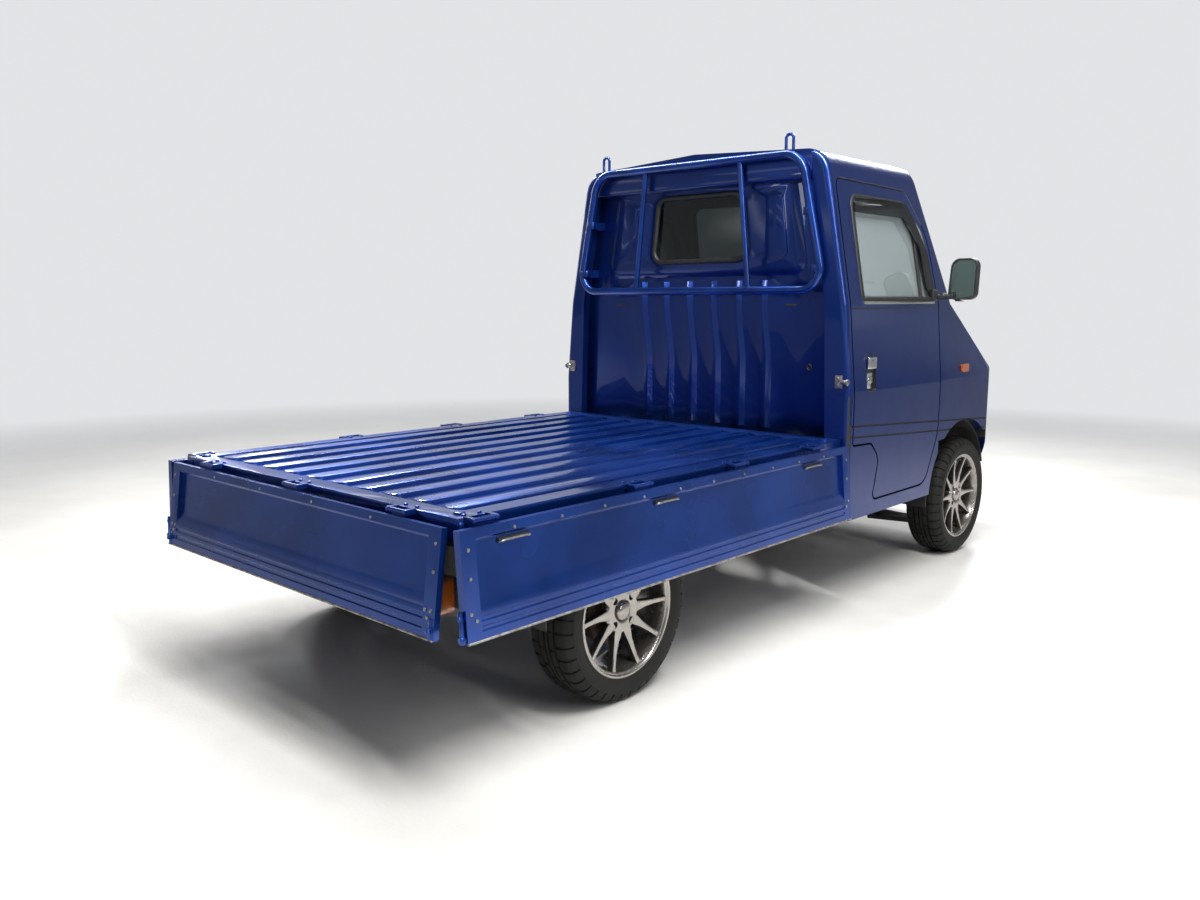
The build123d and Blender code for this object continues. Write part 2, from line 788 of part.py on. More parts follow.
side_plane = Plane(origin=(side_pin_x, side_gate_front_y, gate_pin_z), x_dir=(1, 0, 0), z_dir=(0, -1, 0))
with BuildPart() as side_gate_closed:
    with BuildSketch(side_plane):
        add(gate_section(side_gate_thick))
    extrude(amount=side_gate_front_y - side_gate_rear_y)
    for rail_y in (side_gate_front_y, side_gate_rear_y - end_rail):
        with BuildSketch(Plane(origin=(side_pin_x, rail_y, gate_pin_z), x_dir=(1, 0, 0), z_dir=(0, -1, 0))):
            with Locations((-side_gate_thick / 2, (gate_foot + gate_top) / 2)):
                Rectangle(side_gate_thick, gate_top - gate_foot)
        extrude(amount=-end_rail)
    for place in side_hinge_y:
        with BuildSketch(Plane(origin=(side_pin_x, place, gate_pin_z), x_dir=(1, 0, 0), z_dir=(0, -1, 0))):
            add(strap_section())
        extrude(amount=knuckle_long / 2, both=True)
with BuildPart() as side_gate:
    add(side_gate_closed.part.rotate(Axis((side_pin_x, 0, gate_pin_z), (0, 1, 0)), side_gate_hang))
finish_pair(side_gate, "side_gate")

with BuildPart() as tailgate_closed:
    with BuildSketch(Plane(origin=(-tail_half, tail_pin_y, gate_pin_z), x_dir=(0, 1, 0), z_dir=(1, 0, 0))):
        add(gate_section(tail_gate_thick))
    extrude(amount=2 * tail_half)
    for rail_x in (-tail_half, tail_half - end_rail):
        with BuildSketch(Plane(origin=(rail_x, tail_pin_y, gate_pin_z), x_dir=(0, 1, 0), z_dir=(1, 0, 0))):
            with Locations((-tail_gate_thick / 2, (gate_foot + gate_top) / 2)):
                Rectangle(tail_gate_thick, gate_top - gate_foot)
        extrude(amount=end_rail)
    for place in tail_hinge_x:
        with BuildSketch(Plane(origin=(place, tail_pin_y, gate_pin_z), x_dir=(0, 1, 0), z_dir=(1, 0, 0))):
            add(strap_section())
        extrude(amount=knuckle_long / 2, both=True)
with BuildPart() as tailgate:
    add(tailgate_closed.part.rotate(Axis((0, tail_pin_y, gate_pin_z), (-1, 0, 0)), tail_gate_hang))
finish(tailgate, "tailgate")

# Guard frame behind the cab
guard_y = -185
guard_tube = 16
guard_top_z = 1704
guard_low_z = 1200
guard_top_half = 515
guard_low_half = 625
with BuildPart() as guard_frame:
    with BuildLine(Plane.XZ.offset(-guard_y)) as guard_path:
        FilletPolyline((-guard_low_half, guard_low_z), (guard_low_half, guard_low_z),
                       (guard_top_half, guard_top_z), (-guard_top_half, guard_top_z),
                       radius=[80, 80, 95, 95], close=True)
    with BuildSketch(Plane(origin=(0, guard_y, guard_low_z), z_dir=(1, 0, 0))):
        Circle(guard_tube)
    sweep(path=guard_path.wires()[0])
    for side in (-1, 1):
        with BuildSketch(Plane(origin=(side * 290, guard_y, guard_low_z), x_dir=(0, 1, 0),
                               z_dir=(-side * 52, 0, guard_top_z - guard_low_z))):
            Circle(11)
        extrude(amount=hypot(52, guard_top_z - guard_low_z))
        with BuildLine(Plane.XZ.offset(-guard_y)) as hook_path:
            FilletPolyline((side * 446, guard_top_z), (side * 446, 1775), (side * 478, 1775),
                           (side * 478, guard_top_z - 6), radius=14)
        with BuildSketch(Plane.XY.offset(guard_top_z)):
            with Locations((side * 446, guard_y)):
                Circle(6)
        sweep(path=hook_path.wires()[0])
        for bracket_x, bracket_z in ((551, 1490), (589, 1280)):
            with BuildSketch(Plane.XZ.offset(-guard_y)):
                with Locations((side * bracket_x, bracket_z)):
                    Rectangle(16, 34)
            extrude(amount=guard_y - back_base_y)
finish(guard_frame, "guard_frame")

# Chassis: two rails that rise over the rear axle, tied by cross members
rail_inner = 315
rail_outer = 365
rail_high = 85
rail_front_z = 290
rail_rear_z = 480
rail_front_y = -1640
rail_rear_y = 1596
rail_rise_y = 100
rail_rise_long = 600
engine_half = 210
cross_members = [(-1580, 60), (-880, 60), (-20, 60), (730, 60), (1330, 60), (1560, 60)]


def rail_low(y):
    """Underside of the chassis rail at a place along the truck."""
    rise = (y - rail_rise_y) / rail_rise_long
    return rail_front_z + (rail_rear_z - rail_front_z) * min(1, max(0, rise))


with BuildPart() as chassis_frame:
    rail = sharp([
        (rail_front_y, rail_front_z), (rail_rise_y, rail_front_z),
        (rail_rise_y + rail_rise_long, rail_rear_z), (rail_rear_y, rail_rear_z),
        (rail_rear_y, rail_rear_z + rail_high), (rail_rise_y + rail_rise_long - 15, rail_rear_z + rail_high),
        (rail_rise_y - 15, rail_front_z + rail_high), (rail_front_y, rail_front_z + rail_high),
    ])
    with BuildSketch(Plane.YZ.offset(rail_inner)):
        add(rail)
    extrude(amount=rail_outer - rail_inner)
    with BuildSketch(Plane.YZ.offset(-rail_outer)):
        add(rail)
    extrude(amount=rail_outer - rail_inner)
    for place, wide in cross_members:
        with BuildSketch(Plane.YZ.offset(-rail_inner)):
            with Locations((place, rail_low(place) + rail_high / 2)):
                Rectangle(wide, rail_high - 24)
        extrude(amount=2 * rail_inner)
    # engine mounts
    for side in (-1, 1):
        with Locations((side * (engine_half + rail_inner) / 2, -590, rail_front_z + rail_high - 10)):
            Box(rail_inner - engine_half, 60, 20)
finish(chassis_frame, "chassis_frame")

# Bed underframe: sleepers on the rails and cross bearers under the floor pan
bearer_y = [-140, 330, 780, 1302, 1590]
pan_low_z = floor_z - rib_high - pan_thick
rail_top_rear_z = rail_rear_z + rail_high
lamp_bar_y = 1586
lamp_x = 500
lamp_z = 436
with BuildPart() as bed_underframe:
    for side in (-1, 1):
        with BuildSketch(Plane.XY.offset(rail_top_rear_z)):
            with Locations((side * (rail_inner + rail_outer) / 2, (-180 + rail_rear_y) / 2)):
                Rectangle(rail_outer - rail_inner, rail_rear_y + 180)
        extrude(amount=pan_low_z - rail_top_rear_z)
        with BuildSketch(Plane.XY.offset(rail_front_z + rail_high)):
            with Locations((side * (rail_inner + rail_outer) / 2, -100)):
                Rectangle(rail_outer - rail_inner, 70)
        extrude(amount=rail_top_rear_z - rail_front_z - rail_high)
    for place in bearer_y:
        with BuildSketch(Plane.YZ.offset(-bed_half + 8)):
            with Locations((place, (rail_top_rear_z + pan_low_z) / 2)):
                Rectangle(56, pan_low_z - rail_top_rear_z)
        extrude(amount=2 * bed_half - 16)
    # lamp bar under the tail, hung from the last bearer
    with BuildSketch(Plane.YZ.offset(-660)):
        with Locations((lamp_bar_y, lamp_z)):
            Rectangle(24, 70)
    extrude(amount=1320)
    for side in (-1, 1):
        with BuildSketch(Plane.XY.offset(lamp_z)):
            with Locations((side * 390, lamp_bar_y)):
                Rectangle(40, 24)
        extrude(amount=rail_top_rear_z - lamp_z)
finish(bed_underframe, "bed_underframe")

# Rear lamp units on the lamp bar
with BuildPart() as tail_lamps:
    for side in (-1, 1):
        with BuildSketch(Plane.XZ.offset(-(lamp_bar_y + 12))):
            with Locations((side * lamp_x, lamp_z)):
                RectangleRounded(290, 96, 14)
        extrude(amount=-46)
finish(tail_lamps, "tail_lamps")

# Cab floor: toe board, floor, seat box over the engine and the wheel houses
seat_z = 700
tower_x = 484
tower_low_z = 605
tower_top_z = 770
tower_radius = 66
tower_wall = 6
# steering axis of the left knuckle, from its ball joint up to the strut's top
ball_x = 600
ball_z = 157
strut_top_x = 470
strut_top_z = 760
steer_long = hypot(strut_top_x - ball_x, strut_top_z - ball_z)
steer_out = (ball_x - strut_top_x) / steer_long
steer_up = (strut_top_z - ball_z) / steer_long
king_radius = 8


def steer_plane(side, height):
    """Plane square to the steering axis, this far up it from the ball joint."""
    return Plane(origin=(side * (ball_x - steer_out * height), front_axle_y, ball_z + steer_up * height),
                 x_dir=(steer_up, 0, side * steer_out), z_dir=(-side * steer_out, 0, steer_up))


with BuildPart() as cab_floor:
    floor_line = sharp([
        (-1270, 960), (-1270, 380), (-835, 380), (-805, seat_z - 30), (back_split_y, seat_z - 30),
        (back_split_y, seat_z), (-825, seat_z), (-858, 410), (-1240, 410), (-1240, 960),
    ])
    with BuildSketch(Plane.YZ.offset(-650)):
        add(floor_line)
    extrude(amount=1300)
    for side in (-1, 1):
        with BuildSketch(Plane.YZ.offset(side * 640 if side > 0 else -690)):
            add(sharp([(-825, 372), (back_split_y, 372), (back_split_y, seat_z), (-825, seat_z)]))
        extrude(amount=50)
    with BuildSketch(Plane.YZ.offset(-900)):
        with Locations((arch_y, arch_z)):
            Ellipse(arch_long, arch_high)
    extrude(amount=1800, mode=Mode.SUBTRACT)
    for side in (-1, 1):
        with BuildSketch(Plane.YZ.offset(396 if side > 0 else -695)):
            with Locations((arch_y, arch_z)):
                Ellipse(arch_long, arch_high)
                Ellipse(arch_long - 8, arch_high - 8, mode=Mode.SUBTRACT)
            with Locations((arch_y, 0)):
                Rectangle(900, 2 * 390, mode=Mode.SUBTRACT)
        extrude(amount=299)
        with BuildSketch(Plane.YZ.offset(388 if side > 0 else -396)):
            with Locations((arch_y, arch_z)):
                Ellipse(arch_long, arch_high)
            with Locations((arch_y, 0)):
                Rectangle(900, 2 * 392, mode=Mode.SUBTRACT)
        extrude(amount=8)
    # strut towers over the wheel houses
    for side in (-1, 1):
        with BuildSketch(Plane.XY.offset(tower_low_z)):
            with Locations((side * tower_x, front_axle_y)):
                Circle(tower_radius)
        extrude(amount=tower_top_z - tower_low_z)
        with BuildSketch(Plane.XY.offset(tower_low_z - 60)):
            with Locations((side * tower_x, front_axle_y)):
                Circle(tower_radius - tower_wall)
        extrude(amount=strut_top_z - tower_low_z + 60, mode=Mode.SUBTRACT)
        with BuildSketch(steer_plane(side, steer_long - 20)):
            Circle(king_radius + pin_fit)
        extrude(amount=60, mode=Mode.SUBTRACT)
finish(cab_floor, "cab_floor")

# Wheels: tyre and spoked wheel with its brake drum or disc, turning on a stub
stub_radius = 15
stub_fit = 0.05
barrel_radius = 178
barrel_wall = 8
hub_radius = 66
lug_circle = 50
lug_radius = 10
spoke_count = 10
spoke_front = 58
wheel_places = [("front", front_axle_y), ("rear", rear_axle_y)]
for place, axle_y in wheel_places:
    wheel_plane = Plane(origin=(half_track, axle_y, tyre_radius), x_dir=(0, 0, 1), z_dir=(0, 1, 0))
    axle_line = Axis((half_track, axle_y, tyre_radius), (1, 0, 0))
    half = tyre_width / 2
    with BuildPart() as tyre:
        with BuildSketch(wheel_plane):
            add(sharp([
                (barrel_radius, -66), (rim_radius + 1, -66), (218, -half), (240, -half + 1),
                (tyre_radius - 8, -64), (tyre_radius, -50), (tyre_radius, 50), (tyre_radius - 8, 64),
                (240, half - 1), (218, half), (rim_radius + 1, 66), (barrel_radius, 66),
            ]))
        revolve(axis=axle_line)
    finish_pair(tyre, f"tyre_{place}")
    with BuildPart() as rim:
        with BuildSketch(wheel_plane):
            add(sharp([
                (barrel_radius - barrel_wall, -rim_width / 2), (rim_radius, -rim_width / 2),
                (rim_radius, -66), (barrel_radius, -66), (barrel_radius, 66), (rim_radius, 66),
                (rim_radius, rim_width / 2), (barrel_radius - barrel_wall, rim_width / 2),
            ]))
            # hub, cap and brake in one turned profile round the stub
            add(sharp([
                (stub_radius + stub_fit, -16), (110, -16), (110, 18), (hub_radius, 18),
                (hub_radius, 52), (32, 56), (30, 70), (0, 70), (0, 30), (stub_radius + stub_fit, 30),
            ]))
        revolve(axis=axle_line)
        spoke_shape = sharp([(-16, 50), (16, 50), (9, 110), (10, 174), (-10, 174), (-9, 110)])
        for spoke in range(spoke_count):
            with BuildSketch(Plane(origin=(half_track + 40, axle_y, tyre_radius), x_dir=(0, 1, 0),
                                   z_dir=(1, 0, 0))):
                add(spoke_shape.rotate(Axis.Z, 360 / spoke_count * spoke + 18))
            extrude(amount=20)
        with BuildSketch(Plane.YZ.offset(half_track + 44)):
            with Locations((axle_y, tyre_radius)):
                with PolarLocations(lug_circle, 4, start_angle=45):
                    Circle(lug_radius)
        extrude(amount=30, mode=Mode.SUBTRACT)
    finish_pair(rim, f"wheel_{place}")

# Rear axle: tube with the differential, backplates, the stubs that the wheels turn on and springs
spring_x = 430
spring_wide = 50
spring_span = 920
diff_radius = 108
diff_half_long = 82
with BuildPart() as rear_axle:
    with BuildSketch(Plane.YZ.offset(-590)):
        with Locations((rear_axle_y, tyre_radius)):
            Circle(32)
    extrude(amount=1180)
    with BuildSketch(Plane.YZ.offset(-half_track - 28)):
        with Locations((rear_axle_y, tyre_radius)):
            Circle(stub_radius)
    extrude(amount=2 * half_track + 56)
    for side in (-1, 1):
        with BuildSketch(Plane.YZ.offset(side * 600)):
            with Locations((rear_axle_y, tyre_radius)):
                Circle(100)
        extrude(amount=side * -10)
    with BuildSketch(Plane.XZ.offset(-rear_axle_y)):
        with Locations((0, tyre_radius)):
            RegularPolygon(diff_radius, 12)
    extrude(amount=diff_half_long, both=True)
    # leaf springs on the tube, hung from the rails
    for side in (-1, 1):
        with Locations((side * spring_x, rear_axle_y, 296)):
            Box(spring_wide, 70, 20)
        with BuildSketch(Plane.YZ.offset(side * spring_x - spring_wide / 2)):
            with BuildLine():
                low = ThreePointArc((rear_axle_y - spring_span / 2, 418), (rear_axle_y, 300),
                                    (rear_axle_y + spring_span / 2, 418))
                Line(low @ 1, (rear_axle_y + spring_span / 2, 430))
                high = ThreePointArc((rear_axle_y + spring_span / 2, 430), (rear_axle_y, 324),
                                     (rear_axle_y - spring_span / 2, 430))
                Line(high @ 1, low @ 0)
            make_face()
        extrude(amount=spring_wide)
        for end in (-1, 1):
            eye_y = rear_axle_y + end * spring_span / 2
            with BuildSketch(Plane.YZ.offset(side * spring_x - spring_wide / 2)):
                with Locations((eye_y, 426)):
                    Circle(18)
            extrude(amount=spring_wide)
            with BuildSketch(Plane.YZ.offset(rail_outer if side > 0 else -spring_x - spring_wide / 2)):
                with Locations((eye_y, 426)):
                    Rectangle(30, 36)
                with Locations((eye_y, (426 + rail_low(eye_y) + 60) / 2)):
                    Rectangle(30, rail_low(eye_y) + 60 - 426)
            extrude(amount=spring_x + spring_wide / 2 - rail_outer)
finish(rear_axle, "rear_axle")

# Front suspension: cross beam under the rails, lower arms and strut towers
arm_ball_gap = 0.1
arm_low_z = 111
arm_thick = 22
steer_arm = 115
rack_y = front_axle_y + 106
rack_z = 238
rack_radius = 11
rod_end_height = (rack_z - ball_z) / steer_up
with BuildPart() as front_suspension:
    with BuildSketch(Plane.YZ.offset(-rail_outer)):
        with Locations((front_axle_y, rail_front_z - 35)):
            Rectangle(70, 70)
    extrude(amount=2 * rail_outer)
    for side in (-1, 1):
        with BuildSketch(Plane.XY.offset(arm_low_z)):
            add(sharp([(side * 300, front_axle_y - 70), (side * 300, front_axle_y + 90),
                       (side * ball_x, front_axle_y + 18), (side * ball_x, front_axle_y - 18)]))
        extrude(amount=arm_thick)
        with BuildSketch(steer_plane(side, -44)):
            Circle(22)
        extrude(amount=40)
        with BuildSketch(steer_plane(side, -60)):
            Circle(king_radius + pin_fit)
        extrude(amount=80, mode=Mode.SUBTRACT)
        with BuildSketch(Plane.YZ.offset(side * 300 - 20)):
            with Locations((front_axle_y + 10, (arm_low_z + rail_front_z) / 2)):
                Rectangle(90, rail_front_z - arm_low_z)
        extrude(amount=40)
    with BuildSketch(Plane.YZ.offset(-220)):
        with Locations((rack_y, rack_z)):
            Circle(24)
        with Locations(((rack_y + front_axle_y) / 2, rack_z)):
            Rectangle(rack_y - front_axle_y - 20, 20)
        with Locations((rack_y, rack_z)):
            Circle(rack_radius + pin_fit, mode=Mode.SUBTRACT)
    extrude(amount=440)
finish(front_suspension, "front_suspension")

# Knuckles: hub carrier with its stub, king pin, steering arm and strut
strut_foot = (540, front_axle_y, 330)
strut_dir = (strut_top_x - strut_foot[0], 0, strut_top_z - strut_foot[2])
strut_long = hypot(strut_dir[0], strut_dir[2])
strut_tube_long = 0.62 * strut_long
with BuildPart() as knuckle:
    with BuildSketch(Plane.YZ.offset(562)):
        with Locations((front_axle_y, tyre_radius)):
            Circle(44)
    extrude(amount=46)
    with BuildSketch(Plane.YZ.offset(600)):
        with Locations((front_axle_y, tyre_radius)):
            Circle(stub_radius)
    extrude(amount=half_track + 28 - 600)
    with BuildSketch(steer_plane(1, -4 + arm_ball_gap)):
        Circle(20)
    extrude(amount=88)
    with BuildSketch(steer_plane(1, -50)):
        Circle(king_radius)
    extrude(amount=60)
    with BuildSketch(Plane.YZ.offset(546)):
        with Locations((front_axle_y, 320)):
            Rectangle(44, 120)
    extrude(amount=30)
    with BuildSketch(steer_plane(1, 30)):
        with Locations((0, steer_arm / 2)):
            Rectangle(26, steer_arm)
        with Locations((0, steer_arm)):
            Circle(15)
    extrude(amount=20)
    with BuildSketch(steer_plane(1, 40)):
        with Locations((0, steer_arm)):
            Circle(6)
    extrude(amount=68)
    with BuildSketch(Plane(origin=strut_foot, x_dir=(0, 1, 0), z_dir=strut_dir)):
        Circle(20)
    extrude(amount=strut_tube_long)
    with BuildSketch(Plane(origin=strut_foot, x_dir=(0, 1, 0), z_dir=strut_dir)):
        Circle(9)
    extrude(amount=strut_long - 22)
    with BuildSketch(steer_plane(1, steer_long - 34)):
        Circle(king_radius)
    extrude(amount=51)
finish_pair(knuckle, "knuckle")

# Tie rod: bar through the rack housing, with slotted ends round the steering arms' pins
rod_slot_long = 21
rod_slot_wide = 15.2
rod_end_wide = 31
rod_end_long = 52
rod_end_thick = 14
rod_half = 570
with BuildPart() as tie_rod:
    with BuildSketch(Plane.YZ.offset(-rod_half)):
        with Locations((rack_y, rack_z)):
            Circle(rack_radius)
    extrude(amount=2 * rod_half)
    for side in (-1, 1):
        with BuildSketch(steer_plane(side, rod_end_height - rod_end_thick / 2)):
            with Locations((0, rack_y - front_axle_y)):
                RectangleRounded(rod_end_wide, rod_end_long, 12)
        extrude(amount=rod_end_thick)
        with BuildSketch(steer_plane(side, rod_end_height - 30)):
            with Locations((0, rack_y - front_axle_y)):
                SlotCenterToCenter(rod_slot_long, rod_slot_wide, rotation=90)
        extrude(amount=60, mode=Mode.SUBTRACT)
finish(tie_rod, "tie_rod")

# Steering column and wheel, on the right-hand driver's side
wheel_x = -335
wheel_centre = (wheel_x, -790, 985)
column_dir = (0, -0.5, -0.866)
with BuildPart() as steering_wheel:
    with BuildSketch(Plane(origin=wheel_centre, x_dir=(1, 0, 0), z_dir=column_dir)) as hub_sketch:
        Circle(34)
    extrude(amount=50)
    with BuildSketch(Plane(origin=wheel_centre, x_dir=(1, 0, 0), z_dir=column_dir)):
        Circle(9)
    extrude(amount=430)
    with BuildSketch(Plane(origin=wheel_centre, x_dir=(1, 0, 0), z_dir=column_dir)):
        Circle(192)
        Circle(166, mode=Mode.SUBTRACT)
        Rectangle(360, 26)
        with Locations((0, -90)):
            Rectangle(26, 170)
    extrude(amount=22)
finish(steering_wheel, "steering_wheel")
# Dashboard under the windscreen, with the steering column's tube
column_plane = Plane(origin=wheel_centre, x_dir=(1, 0, 0), z_dir=column_dir).offset(70)
with BuildPart() as dashboard:
    with BuildSketch(Plane.YZ.offset(-640)):
        add(outline_of([(-1240, 1040), (-1240, 820), (-1060, 790), (-1000, 860), (-985, 1010), (-1030, 1060)],
                       [0, 0, 30, 40, 30, 30]))
    extrude(amount=1280)
    with BuildSketch(column_plane):
        Circle(28)
    extrude(amount=330)
    with BuildSketch(Plane.YZ.offset(wheel_x - 22)):
        add(sharp([(-1010, 850), (-870, 850), (-850, 895), (-1010, 930)]))
    extrude(amount=44)
    with BuildSketch(column_plane):
        Circle(9 + pin_fit)
    extrude(amount=330, mode=Mode.SUBTRACT)
finish(dashboard, "dashboard")

# Seats: cushions and backs as closed soft forms
with BuildPart() as seats:
    for side in (-1, 1):
        with BuildSketch(Plane.YZ.offset(side * 340 - 245)):
            add(outline_of([(-840, seat_z + 0.3), (-400, seat_z + 0.3), (-330, 1140), (-380, 1330), (-440, 1320),
                            (-490, seat_z + 150), (-850, seat_z + 130)], [10, 20, 60, 28, 28, 40, 45]))
        extrude(amount=490)
finish(seats, "seats")

# Engine under the seat box, gearbox behind it, shaft to the rear axle
with BuildPart() as engine_block:
    with Locations((0, -590, 505)):
        Box(2 * engine_half, 400, 300)
finish(engine_block, "engine_block")
with BuildPart() as driveline:
    with BuildSketch(Plane.XZ.offset(390)):
        with Locations((0, 454)):
            RectangleRounded(230, 220, 60)
    extrude(amount=-330)
    with BuildSketch(Plane(origin=(0, -62, 440), x_dir=(1, 0, 0),
                           z_dir=(0, rear_axle_y + 62, tyre_radius + 30 - 440))):
        Circle(28)
    extrude(amount=hypot(rear_axle_y + 62, tyre_radius + 30 - 440) - diff_half_long - 8)
finish(driveline, "driveline")

with BuildPart() as fuel_tank:
    with Locations((515, 270, rail_top_rear_z - 90)):
        Box(240, 440, 180)
    fillet(fuel_tank.edges().filter_by(Axis.Y), radius=35)
finish(fuel_tank, "fuel_tank")

exhaust_x = -490
exhaust_z = 440
with BuildPart() as exhaust:
    with BuildSketch(Plane.XZ.offset(-80)):
        with Locations((exhaust_x, exhaust_z)):
            Circle(72)
    extrude(amount=-420)
    with BuildSketch(Plane.XZ.offset(420)):
        with Locations((exhaust_x + 20, exhaust_z)):
            Circle(20)
    extrude(amount=-580)
    # hangers from the rail
    for place in (200, 420):
        with Locations(((exhaust_x - rail_outer) / 2, place, rail_low(place) + 60)):
            Box(-rail_outer - exhaust_x, 30, 20)
finish(exhaust, "exhaust")

# Mud flaps behind the front and rear wheels
flap_thick = 6
front_flap_y = -925
rear_flap_y = 1302 + 28
with BuildPart() as mudflaps:
    for side in (-1, 1):
        with BuildSketch(Plane.XZ.offset(-front_flap_y)):
            with Locations((side * 640, (276 + sill_low_z) / 2)):
                Rectangle(180, sill_low_z - 276)
            with Locations((side * 592, (sill_low_z + 380) / 2)):
                Rectangle(84, 380 - sill_low_z)
        extrude(amount=flap_thick)
        with BuildSketch(Plane.XZ.offset(-rear_flap_y)):
            with Locations((side * 630, 440)):
                Rectangle(136, 310)
        extrude(amount=-flap_thick)
finish(mudflaps, "mudflaps")

# Side repeater lamps on the fenders
with BuildPart() as marker_lamps:
    with BuildSketch(Plane.YZ.offset(700)):
        with Locations((-1252, 863)):
            RectangleRounded(70, 36, 10)
    extrude(amount=42)
    add(body_outer, mode=Mode.SUBTRACT)
    mirror(about=Plane.YZ)
finish(marker_lamps, "marker_lamps")
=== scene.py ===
import bpy
import json
from functools import partial
from math import cos, exp, pi, radians, sin
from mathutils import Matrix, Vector
from mathutils.bvhtree import BVHTree

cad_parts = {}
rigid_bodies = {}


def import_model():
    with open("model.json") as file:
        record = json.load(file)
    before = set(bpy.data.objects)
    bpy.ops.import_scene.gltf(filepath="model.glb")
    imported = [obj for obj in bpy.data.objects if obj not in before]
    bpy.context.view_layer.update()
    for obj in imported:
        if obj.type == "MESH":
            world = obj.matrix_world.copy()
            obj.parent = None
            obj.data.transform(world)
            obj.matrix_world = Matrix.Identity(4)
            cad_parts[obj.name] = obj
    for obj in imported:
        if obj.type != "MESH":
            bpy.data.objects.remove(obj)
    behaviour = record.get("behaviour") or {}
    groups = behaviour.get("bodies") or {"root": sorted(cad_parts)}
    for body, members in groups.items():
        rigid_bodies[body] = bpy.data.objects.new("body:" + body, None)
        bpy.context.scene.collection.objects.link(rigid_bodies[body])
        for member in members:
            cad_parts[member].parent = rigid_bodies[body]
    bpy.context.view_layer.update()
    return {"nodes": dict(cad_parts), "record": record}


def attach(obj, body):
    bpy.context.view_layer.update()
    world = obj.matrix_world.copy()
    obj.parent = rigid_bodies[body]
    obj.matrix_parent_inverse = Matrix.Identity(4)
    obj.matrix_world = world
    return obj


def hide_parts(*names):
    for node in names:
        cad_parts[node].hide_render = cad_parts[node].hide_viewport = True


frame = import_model()
record = frame["record"]
carrier = {name: body for body, names in record["behaviour"]["bodies"].items() for name in names}

# Studio: a pale concrete floor under soft panels of light, seen from a little over a metre up, behind
# the truck's right-hand rear corner. Long bright panels hang as a hall's tubes do, so that the paint
# picks up stripes of light, and the floor fades into the pale background.
bpy.context.scene.view_settings.view_transform = "Standard"


def set_sockets(node, values):
    """Put constants on a node's sockets."""
    for socket, value in values.items():
        node.inputs[socket].default_value = value


def node_of(tree, kind, values=None):
    """A new node with these constants on it."""
    node = tree.nodes.new(f"ShaderNode{kind}")
    set_sockets(node, values or {})
    return node


def finish_of(name, colour, roughness, metallic=0.0, coat=0.0, coat_roughness=0.05):
    """A material with one shader to build on."""
    material = bpy.data.materials.new(name)
    material.use_nodes = True
    shader = material.node_tree.nodes["Principled BSDF"]
    set_sockets(shader, {"Base Color": (*colour, 1), "Roughness": roughness, "Metallic": metallic,
                         "Coat Weight": coat, "Coat Roughness": coat_roughness})
    return material, shader


def noise_of(tree, scale, detail=4.0, rough=0.55, stretch=None):
    """Noise in the object's own place, stretched along its axes where a list is given."""
    noise = node_of(tree, "TexNoise", {"Scale": scale, "Detail": detail, "Roughness": rough})
    source = node_of(tree, "TexCoord").outputs["Object"]
    if stretch:
        mapping = node_of(tree, "Mapping", {"Scale": stretch})
        tree.links.new(source, mapping.inputs["Vector"])
        source = mapping.outputs["Vector"]
    tree.links.new(source, noise.inputs["Vector"])
    return noise.outputs["Fac"]


def ramp_of(tree, source, low, high, first, last):
    """A colour that runs from first to last as the source runs from low to high."""
    ramp = node_of(tree, "ValToRGB")
    for stop, (place, colour) in zip(ramp.color_ramp.elements, ((low, first), (high, last))):
        stop.position = place
        stop.color = (*colour, 1)
    tree.links.new(source, ramp.inputs["Fac"])
    return ramp.outputs["Color"]


def level_of(tree, source, low, high, first, last):
    """A number that runs from first to last as the source runs from low to high."""
    level = node_of(tree, "MapRange", {"From Min": low, "From Max": high, "To Min": first, "To Max": last})
    tree.links.new(source, level.inputs["Value"])
    return level.outputs["Result"]


def mix_of(tree, factor, first, last):
    """One colour over another, by a factor."""
    mix = node_of(tree, "Mix")
    mix.data_type = "RGBA"
    tree.links.new(factor, mix.inputs["Factor"])
    for socket, colour in ((mix.inputs[6], first), (mix.inputs[7], last)):
        if isinstance(colour, tuple):
            socket.default_value = (*colour, 1)
        else:
            tree.links.new(colour, socket)
    return mix.outputs[2]


def pattern_on(shader, source):
    """A pattern given by a noise's numbers, or one that is there already."""
    return noise_of(shader.id_data, *source) if isinstance(source, tuple) else source


def bump_of(shader, source, height, strength=1.0):
    """A fine relief of the given height in metres."""
    bump = node_of(shader.id_data, "Bump", {"Distance": height, "Strength": strength})
    shader.id_data.links.new(pattern_on(shader, source), bump.inputs["Height"])
    shader.id_data.links.new(bump.outputs["Normal"], shader.inputs["Normal"])


def shade_by(shader, source, low, high, first, last):
    """Colour a surface by a pattern, from first to last."""
    colour = ramp_of(shader.id_data, pattern_on(shader, source), low, high, first, last)
    shader.id_data.links.new(colour, shader.inputs["Base Color"])


def dull_by(shader, source, low, high, first, last):
    """Let a pattern change how rough a surface is, from first to last."""
    level = level_of(shader.id_data, pattern_on(shader, source), low, high, first, last)
    shader.id_data.links.new(level, shader.inputs["Roughness"])


